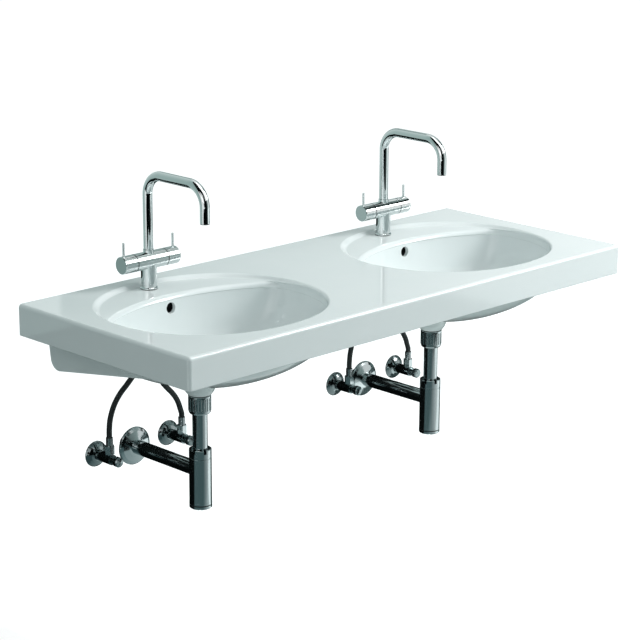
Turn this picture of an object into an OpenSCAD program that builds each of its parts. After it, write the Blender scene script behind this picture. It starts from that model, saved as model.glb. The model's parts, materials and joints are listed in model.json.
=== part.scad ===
// Double washbasin in glazed ceramic, hung on a wall, with two taps and their plumbing.
// Millimetres, +Z up. X runs along the wall, the wall is the plane y = 0, the front is at -Y.
// z = 0 is the level of the four wall fixing holes, so the rim is at z = fix_drop.

/* [Slab] */
// Width along the wall
slab_w = 1300; // [1240:10:1400]
// Depth from the wall to the front edge
slab_d = 525; // [515:5:560]
// Height of the apron round the slab
apron_h = 67; // [58:1:80]
// Rounding of the top edge and the front corners
edge_r = 8; // [4:1:12]
// Thickness of the deck
deck_t = 24; // [22:1:28]
// Thickness of the apron wall
apron_t = 12; // [9:1:15]
// Thickness of the wall along the back
back_t = 16; // [12:1:20]

/* [Lower body] */
// Width of the lower body at the apron's lower edge
lower_w = 1160; // [1120:10:1200]
// Depth of the lower body's wall face below the rim
lower_h = 155; // [145:1:170]
// Distance that the side panels reach forward
panel_d = 345; // [300:5:400]
// Thickness of the side panels and the middle rib
panel_t = 14; // [10:1:18]
// Slope of the side panels' lower edge, in mm per mm
panel_rise = 0.16; // [0.1:0.01:0.2]
// Draft of the side panels, in degrees
panel_draft = 6; // [2:1:8]
// Height of the wall fixing holes below the rim
fix_drop = 110; // [100:1:120]
// Distance between the two fixing holes of one bowl
fix_pitch = 280; // [240:10:300]
// Diameter of a fixing hole
fix_hole = 32; // [26:1:36]

/* [Bowls] */
// Distance between the middles of the two bowls
bowl_pitch = 712; // [680:2:740]
// Distance from the wall to the middle of a bowl
bowl_y = 262; // [258:1:266]
// Half width of a bowl
bowl_a = 236; // [215:1:245]
// Half length of a bowl, front to back
bowl_b = 222; // [215:1:226]
// Squareness of the oval, where 2 is an ellipse
bowl_n = 2.15; // [2:0.05:2.4]
// Width of the rolled edge at the front
roll_front = 4; // [2:1:8]
// Width of the rolled edge at the sides
roll_side = 11; // [6:1:14]
// Width of the rolled edge at the back
roll_back = 8; // [5:1:10]
// Way that the rolled edge reaches in over the ends of the tap shelf
roll_in = 12; // [8:1:18]
// Drop from the deck to the tap shelf
shelf_drop = 8; // [6:0.5:10]
// Fall of the tap shelf towards the bowl
shelf_fall = 2.5; // [1:0.5:4]
// Radius of the rounded front edge of the tap shelf
shelf_round = 12; // [6:1:14]
// Distance from the wall to the front edge of the tap shelf
shelf_y = 128; // [120:1:135]
// Radius of the curve of the shelf's front edge
shelf_r = 400; // [360:10:700]
// Depth of the bowl below the rim
bowl_depth = 152; // [140:1:160]
// Thickness of the bowl's back wall
bowl_t = 13; // [10:1:15]
// Half width of the bowl's underside
dome_a = 256; // [250:1:262]
// Half length of the bowl's underside
dome_b = 226; // [218:1:232]
// Depth of the bowl's underside below the apron
dome_h = 101; // [94:1:108]

/* [Drain and overflow] */
// Distance from the wall to the drain
drain_y = 218; // [212:1:224]
// Diameter of the drain hole
drain_hole = 46; // [44:1:48]
// Depth of the drain boss below the rim
boss_depth = 205; // [200:1:216]
// Diameter of the drain boss at its waist
boss_d = 66; // [60:1:72]
// Diameter of the overflow hole
over_hole = 24; // [18:1:28]
// Depth of the overflow hole below the rim
over_drop = 38; // [34:1:44]
// Width of the overflow channel behind the bowl
over_w = 60; // [50:1:70]

/* [Taps] */
// Distance from the wall to a tap
tap_y = 60; // [60:1:64]
// Diameter of the tap hole
tap_hole = 35; // [33:1:36]
// Diameter of the tap's foot
foot_d = 38; // [37:1:39]
// Diameter of the tap's pillar
pillar_d = 33.5; // [29:0.5:34]
// Diameter of the cross cylinder and the knobs
cross_d = 37.5; // [35:0.5:40]
// Length of the cross cylinder over both knobs
cross_l = 148; // [142:1:160]
// Length of the fixed middle of the cross cylinder
cross_mid = 82; // [78:1:86]
// Width of the groove's shoulder on each side of the seam between the middle and a knob
seam_w = 0.9; // [0.6:0.1:1.2]
// Depth of that groove
seam_in = 1.6; // [1:0.1:2.4]
// Height of the cross cylinder's axis above the tap's seat
cross_z = 61.5; // [58:0.5:70]
// Diameter of the spout tube
spout_d = 20.5; // [19:0.5:22]
// Height of the spout's arm above the tap's seat
spout_z = 247; // [222:1:260]
// Reach of the spout
spout_reach = 180; // [150:1:200]
// Radius of the spout's bends
spout_bend = 45; // [26:1:48]
// Height of the outlet above the tap's seat
spout_end = 170; // [150:1:172]
// Diameter of a lever pin
lever_d = 5; // [4:0.5:6]
// Length of a lever pin above its knob
lever_l = 29; // [20:1:32]
// Distance from a knob's outer face to its lever pin
lever_in = 7; // [6:0.5:10]

/* [Supply] */
// Distance between the two angle valves of one bowl
valve_pitch = 202; // [180:2:220]
// Distance of the valves' middle outwards from the bowl's middle
valve_out = 5; // [0:1:10]
// Depth of the angle valves below the rim
valve_drop = 367; // [360:1:372]
// Distance from the wall to a valve's riser
riser_y = 48; // [46:1:50]
// Diameter of a valve's rosette
rose_d = 57; // [52:1:60]
// Diameter of a supply hose
hose_d = 12; // [10:0.5:13]
// Diameter of a valve's handle
handle_d = 22; // [20:1:24]

/* [Waste] */
// Diameter of the tail pipe and the outlet pipe
pipe_d = 32; // [30:1:34]
// Diameter of the coupling nut
nut_d = 48.5; // [46:0.5:50]
// Height of the coupling nut
nut_h = 39; // [34:1:42]
// Diameter of the trap
trap_d = 48; // [46:0.5:50]
// Depth of the trap collar's top below the rim
trap_top = 325; // [310:1:332]
// Height of the trap collar
collar_h = 23; // [20:1:26]
// Length of the trap body
trap_l = 94; // [90:1:110]
// Height of the trap's bottom cap
cap_h = 14; // [12:1:18]
// Depth of the outlet pipe's axis below the rim
outlet_drop = 374; // [370:1:380]
// Diameter of the outlet pipe's wall rosette
wall_rose_d = 85; // [78:1:90]
// Length of the outlet pipe behind the wall face
outlet_in = 30; // [20:1:40]

/* [Hidden] */
$fn = 48;
// Gap between pieces that turn or slide past each other
run_gap = 0.3;
// Radial clearance of a shaft in its bore
fit_gap = 0.04;
// Rim level
top = fix_drop;
bowl_x = bowl_pitch / 2;

// Segments round a bowl, and the exponent that blends its oval into the shelf edge
bowl_seg = 56;
dome_seg = 40;
blend_p = 24;
shelf_edge = bowl_y - shelf_y;
drain_in = bowl_y - drain_y;
seat_r = 34;

// Polar radius of an oval at angle t
function oval(t, a, b, n) = pow(pow(abs(cos(t)) / a, n) + pow(abs(sin(t)) / b, n), -1 / n);
// Polar radius of the shelf edge's arc, whose middle lies e behind the bowl's middle
function arc(t, e) = let(d = shelf_r - e, s = sin(t))
    -s * d + sqrt(s * s * d * d - d * d + shelf_r * shelf_r);
function soft_min(p, q) = pow(pow(p, -blend_p) + pow(q, -blend_p), -1 / blend_p);
function outline(t) = oval(t, bowl_a, bowl_b, bowl_n);
function inner(t) = soft_min(outline(t), arc(t, shelf_edge));
// 0 at the front of the bowl, 1 at its back
function backness(t) = let(s = max(0, min(1, (sin(t) + 0.35) / 0.75))) s * s * (3 - 2 * s);
function roll_w(t) = let(s = sin(t)) s > 0 ? roll_side + (roll_back - roll_side) * s * s
    : roll_front + (roll_side - roll_front) * pow(1 - s * s, 2);
function roll_h(t) = roll_front + (shelf_drop - roll_front) * backness(t);
function roll_z(t, u) = let(w = backness(t)) -roll_h(t)
    * ((1 - w) * (1 - sqrt(1 - u * u)) + w * (1 - cos(180 * u)) / 2);
// Width of the shelf between the rolled edge and the bowl, and its share that grows from 0 within d mm
function ledge(t) = outline(t) - inner(t);
function ledge_share(t, d) = ledge(t) / (ledge(t) + d);
// A ring of points of one polar radius function about the drain-side shift k
function ring_pt(t, r, k, z) = [r * cos(t), r * sin(t) + k * drain_in, z];

// Rows of the bowl wall: depth as a share of the way from the rim to the seat, and way in
wall_rows = [[0.17, 0.012], [0.27, 0.03], [0.44, 0.07], [0.59, 0.13], [0.71, 0.22], [0.8, 0.33],
    [0.875, 0.47], [0.93, 0.63], [0.97, 0.79], [0.993, 0.92], [1, 1]];

// Way in of the rolled edge's foot, which is wide at the ends of the shelf
function foot_in(t) = roll_in * ledge_share(t, 30) * cos(t) * cos(t);
function roll_ring(u) = [for (i = [0 : bowl_seg - 1]) let(t = i * 360 / bowl_seg)
    ring_pt(t, outline(t) + roll_w(t) * (1 - u) - foot_in(t) * u, 0, roll_z(t, u))];
function edge_ring(out, drop) = [for (i = [0 : bowl_seg - 1]) let(t = i * 360 / bowl_seg)
    ring_pt(t, inner(t) + out * ledge_share(t, shelf_round) - 0.25 * drop, 0,
        -max(shelf_drop + shelf_fall, roll_front) - drop)];
function wall_ring(row) = [for (i = [0 : bowl_seg - 1]) let(t = i * 360 / bowl_seg, k = row[1])
    ring_pt(t, (1 - k) * (inner(t) - 0.6) + k * seat_r, k, -bowl_depth * row[0])];
// Rings of the bowl's hollow from above the deck down to the seat of the waste
bowl_rings = concat([[for (p = roll_ring(0)) [p[0], p[1], 3]]],
    [for (u = [0, 0.35, 0.65, 0.88, 1]) roll_ring(u)],
    [for (a = [0 : 30 : 90]) edge_ring(shelf_round * (1 - sin(a)), -0.4 + shelf_round * 0.8 * (1 - cos(a)))],
    [for (row = wall_rows) wall_ring(row)]);

// Rows of the underside: share of the dome's radius and way in of the back wall
dome_rows = [[1, 0.05], [0.93, 0.12], [0.85, 0.18], [0.75, 0.27], [0.63, 0.4], [0.5, 0.55], [0.36, 0.72],
    [0.22, 0.88]];
back_run = shelf_edge - drain_in - seat_r;
function dome_z(r) = -apron_h - dome_h * pow(1 - pow(r, 1.6), 1 / 1.6);
function dome_ring(row) = [for (i = [0 : dome_seg - 1]) let(t = i * 360 / dome_seg)
    ring_pt(t, soft_min(row[0] * oval(t, dome_a, dome_b, 2), arc(t, shelf_edge - row[1] * back_run + bowl_t)),
        0, dome_z(row[0]))];
function collar_ring(z) = [for (i = [0 : dome_seg - 1]) let(t = i * 360 / dome_seg)
    ring_pt(t, soft_min(outline(t) + bowl_t, arc(t, shelf_edge + bowl_t)), 0, z)];
dome_rings = concat([collar_ring(-shelf_drop - 8), collar_ring(-deck_t - 6)],
    [for (row = dome_rows) dome_ring(row)]);

// Closed skin through rings that have the same number of points, listed from the top down
module skin(rings) {
    n = len(rings[0]);
    m = len(rings);
    pts = [for (r = rings) for (p = r) p];
    last = m * n;
    mid0 = [for (j = [0 : 2]) [for (p = rings[0]) p[j]] * [for (p = rings[0]) 1] / n];
    mid1 = [for (j = [0 : 2]) [for (p = rings[m - 1]) p[j]] * [for (p = rings[m - 1]) 1] / n];
    walls = [for (k = [0 : m - 2]) for (i = [0 : n - 1]) let(a = k * n + i, b = k * n + (i + 1) % n)
        each [[a, b, b + n], [a, b + n, a + n]]];
    caps = [for (i = [0 : n - 1]) each [[last, (i + 1) % n, i],
        [last + 1, (m - 1) * n + i, (m - 1) * n + (i + 1) % n]]];
    polyhedron(points = concat(pts, [mid0, mid1]), faces = concat(walls, caps), convexity = 6);
}

// Slab with rolled top edges at the front and the ends, flat at the wall
module slab_block() {
    hw = slab_w / 2 - edge_r;
    fd = slab_d - edge_r;
    translate([-slab_w / 2, -fd, -apron_h]) cube([slab_w, fd, apron_h - edge_r]);
    translate([-hw, -slab_d, -apron_h]) cube([2 * hw, slab_d, apron_h - edge_r]);
    translate([-hw, -fd, -edge_r - 1]) cube([2 * hw, fd, edge_r + 1]);
    for (s = [-1, 1]) {
        translate([s * hw, 0, -edge_r]) rotate([90, 0, 0]) cylinder(r = edge_r, h = fd);
        translate([s * hw, -fd, -apron_h]) cylinder(r = edge_r, h = apron_h - edge_r);
        translate([s * hw, -fd, -edge_r]) sphere(r = edge_r);
    }
    translate([-hw, -fd, -edge_r]) rotate([0, 90, 0]) cylinder(r = edge_r, h = 2 * hw);
}

// Side panel of the lower body, seen from the side: it rises towards the front
module panel_outline() {
    r = 22;
    low = lower_h - panel_rise * panel_d;
    translate([-r, -lower_h + r]) circle(r = r);
    polygon([[0, -deck_t + 2], [0, -lower_h + r], [-r, -lower_h], [-panel_d, -low],
        [-panel_d - 40, -apron_h + 6], [-panel_d - 40, -deck_t + 2]]);
}

module side_panel(s) {
    translate([s * lower_w / 2, 0, -apron_h]) rotate([0, s * panel_draft, 0])
        translate([s > 0 ? -panel_t : 0, 0, apron_h]) rotate([90, 0, 90])
            linear_extrude(height = panel_t) panel_outline();
}

// Wall along the back, which carries the fixing holes
module back_wall() {
    in = tan(panel_draft) * (lower_h - apron_h);
    r = 22;
    hw = lower_w / 2 - 2;
    rotate([90, 0, 0]) linear_extrude(height = back_t) union() {
        polygon([[-hw, -deck_t + 2], [-hw, -apron_h], [-hw + in, -lower_h + r], [-hw + in + r, -lower_h],
            [hw - in - r, -lower_h], [hw - in, -lower_h + r], [hw, -apron_h], [hw, -deck_t + 2]]);
        for (s = [-1, 1]) translate([s * (hw - in - r), -lower_h + r]) circle(r = r);
    }
}

// Drain boss and the overflow channel down the back of the bowl
module drain_boss() {
    r = boss_d / 2;
    translate([0, -drain_y, 0]) rotate_extrude() polygon([[0, -bowl_depth - 8], [r + 12, -bowl_depth - 8],
        [r + 5, -boss_depth + 34], [r, -boss_depth + 13], [r - 2, -boss_depth + 8],
        [drain_hole / 2 + 2, -boss_depth], [0, -boss_depth]]);
}

module channel(grow, w) {
    y0 = shelf_y - bowl_t;
    rotate([90, 0, 90]) translate([0, 0, -w / 2]) linear_extrude(height = w)
        polygon([[-y0 + 15 + grow, -deck_t + 4 - (5 - grow) * 2], [-y0 + 12 + grow, -over_drop - 30],
            [-y0 + 2 + grow, -115], [-y0 - 24 + grow, -150], [-drain_y + 32 + grow, -boss_depth + 28 - grow * 2],
            [-drain_y + 10, -boss_depth + 26 - grow * 2], [-drain_y + 10, -bowl_depth - 13],
            [-drain_y + 30, -bowl_depth - 9], [-y0 - 36, -140], [-y0 - 18, -108],
            [-y0 - 9, -over_drop - 30], [-y0 - 6, -deck_t + 4 - (5 - grow) * 2]]);
}

module basin() {
    color("white") translate([0, 0, top]) difference() {
        union() {
            difference() {
                slab_block();
                translate([-slab_w / 2 + apron_t, -slab_d + apron_t, -apron_h - 1])
                    cube([slab_w - 2 * apron_t, slab_d - apron_t - back_t, apron_h - deck_t + 1]);
            }
            back_wall();
            for (s = [-1, 1]) side_panel(s);
            translate([-panel_t / 2, -slab_d + apron_t - 1, -apron_h + 4])
                cube([panel_t, slab_d - apron_t - back_t + 2, apron_h - deck_t]);
            for (s = [-1, 1]) translate([s * bowl_x, 0, 0]) {
                translate([0, -bowl_y, 0]) skin(dome_rings);
                drain_boss();
                channel(5, over_w);
            }
        }
        for (s = [-1, 1]) translate([s * bowl_x, 0, 0]) {
            translate([0, -bowl_y, 0]) skin(bowl_rings);
            // Overflow hole and its channel down to the drain
            translate([0, -shelf_y - 24, -over_drop]) rotate([-90, 0, 0]) cylinder(d = over_hole, h = 24 + bowl_t + 9);
            channel(0, over_w - 16);
            // Drain hole and the seat of the waste
            translate([0, -drain_y, -boss_depth - 5]) cylinder(d = drain_hole, h = boss_depth - bowl_depth + 10);
            translate([0, -drain_y, -bowl_depth - 3]) cylinder(r = seat_r - 1, h = 8);
            // Tap hole with a flat round its mouth
            translate([0, -tap_y, -deck_t - 5]) cylinder(d = tap_hole, h = deck_t);
            translate([0, -tap_y, -shelf_drop - 1]) cylinder(d = foot_d + 1.4, h = shelf_drop);
            // Wall fixing holes
            for (x = [-1, 1]) translate([x * fix_pitch / 2, 1, -fix_drop]) rotate([90, 0, 0])
                cylinder(d = fix_hole, h = back_t + 2);
        }
    }
}

// Places for the pieces of both bowls, and helpers for round pieces
tap_seat = top - shelf_drop - 1;
pad_t = 1.5;
bore_r = 8;
knob_gap = run_gap;
knob_l = (cross_l - cross_mid) / 2 - knob_gap;
spigot_l = 14;
tube_t = 1.6;

module at_tap(s) {
    translate([s * bowl_x, -tap_y, tap_seat]) children();
}

function valve_x(s, h) = s * (bowl_x + valve_out) + h * valve_pitch / 2;

module at_drain(s) {
    translate([s * bowl_x, -drain_y, top]) children();
}

module at_valve(s, h) {
    translate([valve_x(s, h), 0, top - valve_drop]) children();
}

module both() {
    for (s = [-1, 1]) at_tap(s) children();
}

module drains() {
    for (s = [-1, 1]) at_drain(s) children();
}

module valves() {
    for (s = [-1, 1]) for (h = [-1, 1]) at_valve(s, h) children();
}

// Ring with a square section
module ring(ro, ri, h) {
    rotate_extrude() translate([ri, 0]) square([ro - ri, h]);
}

module tube(ro, ri, h) {
    difference() {
        cylinder(r = ro, h = h);
        translate([0, 0, -1]) cylinder(r = ri, h = h + 2);
    }
}

// Tap: foot, pillar, cross cylinder with two sockets, and the socket of the spout
body_top = cross_z + cross_d / 2 + 5;
port_x = 8.5;
port_y = 5;
stud_y = -10;

module tap_body(s) {
    color("silver") at_tap(s) difference() {
        union() {
            rotate_extrude() polygon([[0, pad_t], [foot_d / 2, pad_t], [foot_d / 2, pad_t + 2],
                [foot_d / 2 - 1.5, pad_t + 3.5], [pillar_d / 2, pad_t + 3.5], [pillar_d / 2, cross_z], [0, cross_z]]);
            translate([-cross_mid / 2, 0, cross_z]) rotate([0, 90, 0]) rotate_extrude()
                polygon([[0, 0], [cross_d / 2 - seam_in, 0], [cross_d / 2 - seam_in, seam_w], [cross_d / 2, seam_w],
                    [cross_d / 2, cross_mid - seam_w], [cross_d / 2 - seam_in, cross_mid - seam_w],
                    [cross_d / 2 - seam_in, cross_mid], [0, cross_mid]]);
            translate([0, 0, cross_z]) cylinder(r = spout_d / 2 + 1.2, h = body_top - cross_z);
        }
        // Sockets of the two cartridges
        for (h = [-1, 1]) translate([h * (cross_mid / 2 + 1), 0, cross_z]) rotate([0, -h * 90, 0])
            cylinder(r = 9, h = socket_l);
        // Socket of the spout
        translate([0, 0, body_top - spigot_l - 1]) cylinder(r = bore_r, h = spigot_l + 2);
        // Ports of the hoses and the thread of the stud
        for (h = [-1, 1]) translate([h * port_x, port_y, pad_t - 1]) cylinder(r = 5, h = 13);
        translate([0, stud_y, pad_t - 1]) cylinder(r = 4, h = 13);
    }
}

// Cartridge: brass sleeve in the socket, thread, and the splined spindle that the knob sits on
sleeve_l = 21;
spindle_l = 22;
socket_l = sleeve_l + 1;

module cartridge(h) {
    translate([h * (cross_mid / 2 - sleeve_l), 0, cross_z]) rotate([0, h * 90, 0]) rotate_extrude()
        polygon([[0, 0], [9, 0], [9, sleeve_l], [11, sleeve_l], [11, sleeve_l + 4], [7, sleeve_l + 4],
            [7, sleeve_l + 10], [4, sleeve_l + 10], [4, sleeve_l + spindle_l], [0, sleeve_l + spindle_l]]);
}

module cartridges() {
    color("goldenrod") both() for (h = [-1, 1]) cartridge(h);
}

// Knob: a cup over the cartridge, with the bore for the spindle and the thread of the lever pin
lever_at = cross_l / 2 - lever_in;

module knob(s, h) {
    x0 = cross_mid / 2 + knob_gap;
    color("silver") at_tap(s) translate([0, 0, cross_z]) difference() {
        translate([h * x0, 0, 0]) rotate([0, h * 90, 0]) rotate_extrude()
            polygon([[0, 0], [cross_d / 2 - seam_in, 0], [cross_d / 2 - seam_in, seam_w], [cross_d / 2, seam_w],
                [cross_d / 2, knob_l - 1], [cross_d / 2 - 1, knob_l], [0, knob_l]]);
        translate([h * (x0 - 1), 0, 0]) rotate([0, h * 90, 0]) cylinder(r = 13, h = 13);
        translate([h * x0, 0, 0]) rotate([0, h * 90, 0]) cylinder(r = 4 + fit_gap, h = spindle_l + 1);
        translate([h * lever_at, 0, 9]) cylinder(d = lever_d, h = cross_d);
    }
}

module lever(s, h) {
    tip = cross_d / 2 + lever_l;
    color("silver") at_tap(s) translate([h * lever_at, 0, cross_z]) rotate_extrude()
        polygon([[0, 9], [lever_d / 2, 9], [lever_d / 2, tip - 0.8], [lever_d / 2 - 0.8, tip], [0, tip]]);
}

// Spout: one bent tube, with the spigot that turns in the body
module spout_path(r, floor_t) {
    arm = spout_reach - 2 * spout_bend;
    z0 = body_top + run_gap + floor_t;
    translate([0, 0, z0]) cylinder(r = r, h = spout_z - spout_bend - z0);
    translate([0, -spout_bend, spout_z - spout_bend]) rotate([90, 0, 90]) rotate_extrude(angle = 90)
        translate([spout_bend, 0]) circle(r = r);
    translate([0, -spout_bend, spout_z]) rotate([90, 0, 0]) cylinder(r = r, h = arm);
    translate([0, -spout_reach + spout_bend, spout_z - spout_bend]) rotate([90, 0, -90])
        rotate_extrude(angle = 90) translate([spout_bend, 0]) circle(r = r);
    translate([0, -spout_reach, spout_end]) cylinder(r = r, h = spout_z - spout_bend - spout_end);
}

module spout(s) {
    color("silver") at_tap(s) difference() {
        union() {
            spout_path(spout_d / 2, 0);
            translate([0, 0, body_top - spigot_l]) cylinder(r = bore_r - fit_gap, h = spigot_l + 2);
        }
        spout_path(spout_d / 2 - tube_t, 3);
        translate([0, 0, body_top - spigot_l - 1]) cylinder(r = bore_r - 2, h = spigot_l + 6);
        translate([0, -spout_reach, spout_end - 1]) cylinder(r = spout_d / 2 - tube_t, h = 8);
    }
}

// Outlet piece in the end of the spout
module aerator(s) {
    r = spout_d / 2 - tube_t;
    color("gray") at_tap(s) translate([0, -spout_reach, spout_end - 1]) difference() {
        union() {
            cylinder(r = r, h = 8);
            cylinder(r = spout_d / 2 - 0.4, h = 1);
        }
        translate([0, 0, -1]) cylinder(r = r - 2.4, h = 3);
        for (a = [0 : 60 : 300]) rotate([0, 0, a]) translate([r * 0.42, 0, 0]) cylinder(r = 1.1, h = 9);
        cylinder(r = 1.1, h = 9);
    }
}

// Fixing under the deck: stud, pad, clamp plate and nut
under = deck_t - shelf_drop - 1;
pad2_t = 3;
plate_t = 3;
clamp_d = 46;
stud_down = 28;
stud_in = 12;
tail_down = 30;

module clamp_shape(h) {
    difference() {
        cylinder(d = clamp_d, h = h);
        translate([0, stud_y, -1]) cylinder(r = 4.3, h = h + 2);
        translate([-port_x - 7, port_y - 7, -1]) cube([2 * port_x + 14, clamp_d, h + 2]);
    }
}

module tap_gaskets() {
    color("dimgray") both() ring(foot_d / 2 - 0.5, tap_hole / 2 - 0.3, pad_t);
}

module tap_studs() {
    color("silver") both() translate([0, stud_y, -under - stud_down])
        cylinder(r = 4, h = under + stud_down + pad_t + stud_in);
}

module clamp_pads() {
    color("dimgray") both() translate([0, 0, -under - pad2_t]) clamp_shape(pad2_t);
}

module clamp_plates() {
    color("silver") both() translate([0, 0, -under - pad2_t - plate_t]) clamp_shape(plate_t);
}

module clamp_nuts() {
    color("goldenrod") both() translate([0, stud_y, -under - pad2_t - plate_t - 9]) difference() {
        cylinder(r = 7.5, h = 9, $fn = 6);
        translate([0, 0, -1]) cylinder(r = 4, h = 11);
    }
}

// Supply hoses: threaded tails in the tap, sleeves, the hoses and the union nuts on the valves
tail_end = -under - tail_down;
sleeve_h = 18;
sleeve_r = hose_d / 2 + 1.6;

module hose_tails() {
    color("goldenrod") both() for (h = [-1, 1]) translate([h * port_x, port_y, tail_end])
        cylinder(r = 5, h = pad_t + 10 - tail_end);
}

riser_top = 24;
nut_z = 12;
nut_top = 30;

module hose_sleeves() {
    color("silver") {
        both() for (h = [-1, 1]) translate([h * port_x, port_y, tail_end - sleeve_h])
            cylinder(r = sleeve_r, h = sleeve_h);
        valves() translate([0, -riser_y, nut_top]) cylinder(r = sleeve_r, h = sleeve_h);
    }
}

module hose_nuts() {
    color("silver") valves() translate([0, -riser_y, 0]) difference() {
        translate([0, 0, nut_z]) cylinder(r = 11, h = nut_top - nut_z, $fn = 6);
        translate([0, 0, nut_z - 1]) cylinder(r = 8.3, h = riser_top - nut_z + 1);
    }
}

// Points of a hose from its lower sleeve to its upper one, h = -1 for the left hose of a tap
hose_low = top - valve_drop + nut_top + sleeve_h;
hose_high = tap_seat + tail_end - sleeve_h;
hose_y = -tap_y + port_y;
// Share of the sideways way from the valve to the tap, place in front of the wall, height from the rim
hose_out = [[0, -48.5, -300], [0.015, -49.5, -281], [0.067, -51, -261], [0.154, -52, -243], [0.297, -53, -225],
    [0.48, -54, -209], [0.66, -55, -191], [0.81, -56, -169], [0.915, -56, -144], [0.98, -55, -115]];
hose_in = [[0.045, -48.5, -300], [0.12, -50, -284], [0.235, -52, -268], [0.37, -53, -254], [0.52, -54, -241],
    [0.68, -55, -225], [0.82, -56, -205], [0.925, -56, -180], [0.98, -56, -151], [1, -55, -115]];
function hose_points(s, h) = let(x0 = valve_x(s, h), x1 = s * bowl_x + h * port_x)
    concat([[x0, -riser_y, hose_low], [x0, -riser_y, hose_low + 8]],
        [for (p = h < 0 ? hose_out : hose_in) [x0 + (x1 - x0) * p[0], p[1], top + p[2]]],
        [[x1, hose_y, hose_high - 8], [x1, hose_y, hose_high]]);

// Smooth curve through points, n steps a span
function spline(p, n) = [for (i = [0 : len(p) - 2]) for (j = [0 : (i == len(p) - 2 ? n : n - 1)])
    let(a = p[max(i - 1, 0)], b = p[i], c = p[i + 1], d = p[min(i + 2, len(p) - 1)], t = j / n)
        0.5 * (2 * b + (c - a) * t + (2 * a - 5 * b + 4 * c - d) * t * t + (3 * b - a - 3 * c + d) * t * t * t)];
function unit(v) = v / norm(v);
function tangent(p, i) = i == 0 || i == len(p) - 1 ? [0, 0, 1] : unit(p[i + 1] - p[i - 1]);

// Tube swept along points by rings of sides points each
module swept(p, r, sides) {
    m = len(p);
    rings = [for (i = [0 : m - 1]) let(t = tangent(p, i), u = unit(cross(t, [0, 1, 0])), w = cross(t, u))
        [for (k = [0 : sides - 1]) p[i] + r * (cos(k * 360 / sides) * u + sin(k * 360 / sides) * w)]];
    skin([for (i = [m - 1 : -1 : 0]) [for (k = [sides - 1 : -1 : 0]) rings[i][k]]]);
}

module hose(s, h) {
    color("dimgray") swept(spline(hose_points(s, h), 1), hose_d / 2, 10);
}

// Angle valve: body with its threaded tail in the wall, riser, gland, handle and rosette
barrel_r = 11.5;
body_y = 58;
thread_end = 12;
run_out = 2;
run_out_w = 1.5;

module valve_bodies() {
    color("silver") valves() difference() {
        union() {
            rotate([90, 0, 0]) translate([0, 0, -thread_end]) cylinder(r = 10.4, h = thread_end + 14);
            rotate([90, 0, 0]) translate([0, 0, 14]) cylinder(r = barrel_r, h = body_y - 14);
            translate([0, -riser_y, 0]) cylinder(r = 8.3, h = riser_top);
        }
        translate([0, thread_end + 1, 0]) rotate([90, 0, 0]) cylinder(r = 6.5, h = 40);
        // Run-out groove where the thread starts behind the wall's face
        translate([0, run_out, 0]) rotate([-90, 0, 0]) ring(12, 9.8, run_out_w);
        translate([0, -riser_y, 0]) cylinder(r = 5, h = riser_top + 1);
        translate([0, -body_y + 14, 0]) rotate([90, 0, 0]) cylinder(r = 7, h = 15);
    }
}

module valve_rosettes() {
    color("silver") valves() rotate([90, 0, 0]) rotate_extrude()
        polygon([[10.5, 0], [rose_d / 2, 0], [rose_d / 2, 1.5], [rose_d / 2 - 1.5, 4], [rose_d / 2 - 5, 7.5],
            [rose_d / 2 - 10, 10.5], [13, 12.4], [10.5, 12.4], [10.5, 10.4], [13, 10.2], [rose_d / 2 - 8, 6.5],
            [rose_d / 2 - 3, 2], [10.5, 2]]);
}

// Gland with the spindle: it fills the front bore of the body
module valve_glands() {
    color("goldenrod") valves() translate([0, -body_y + 14, 0]) rotate([90, 0, 0]) rotate_extrude()
        polygon([[0, 0], [7, 0], [7, 14], [9.5, 14], [9.5, 20], [3, 20], [3, 34], [0, 34]]);
}

module handle(s, h) {
    r = handle_d / 2;
    color("silver") at_valve(s, h) translate([0, -body_y - 6 - run_gap, 0]) rotate([90, 0, 0]) difference() {
        rotate_extrude() polygon([[3 + fit_gap, 0], [r - 3, 0], [r - 3, 3], [r, 6], [r, 15], [r - 2, 17.5], [0, 18.5],
            [0, 14.5], [3 + fit_gap, 14.5]]);
        for (a = [0 : 30 : 330]) rotate([0, 0, a]) translate([r + 0.8, 0, 5]) cylinder(r = 1.8, h = 9);
    }
}

// Waste: flanged body with overflow slots, the plug, its seals and the ribbed coupling nut
flange_t = 2.5;
flange_r = 32;
seal_t = 1.5;
waste_r = 20.5;
seal2_t = 2.5;
nut_top_z = -boss_depth - seal2_t;
pipe_top = nut_top_z - 24;
seat_z = -bowl_depth - 3;

module flange_seals() {
    color("dimgray") drains() translate([0, 0, seat_z]) ring(flange_r - 1, drain_hole / 2 + 0.5, seal_t);
}

module boss_seals() {
    color("dimgray") drains() translate([0, 0, nut_top_z]) ring(nut_d / 2 - 1, waste_r + 0.1, seal2_t);
}

module waste_bodies() {
    z1 = nut_top_z - 20;
    color("silver") drains() difference() {
        union() {
            translate([0, 0, z1]) tube(waste_r, waste_r - 2.5, seat_z + seal_t + 1 - z1);
            translate([0, 0, seat_z + seal_t]) rotate_extrude() polygon([[waste_r - 2.5, 0], [flange_r, 0],
                [flange_r, 1], [flange_r - 3, flange_t], [waste_r - 2.5, flange_t - 0.6]]);
            // Guide of the plug's stem
            translate([0, 0, -boss_depth + 22]) ring(9, 5 + fit_gap, 10);
            for (a = [0 : 120 : 240]) rotate([0, 0, a]) translate([6, -1.5, -boss_depth + 24])
                cube([waste_r - 7.5, 3, 6]);
        }
        // Slots that take the water of the overflow
        for (a = [0 : 60 : 300]) rotate([0, 0, a]) translate([0, 0, -boss_depth + 27]) rotate([90, 0, 0])
            translate([0, 0, waste_r - 5]) cylinder(r = 3.5, h = 8);
    }
}

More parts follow.
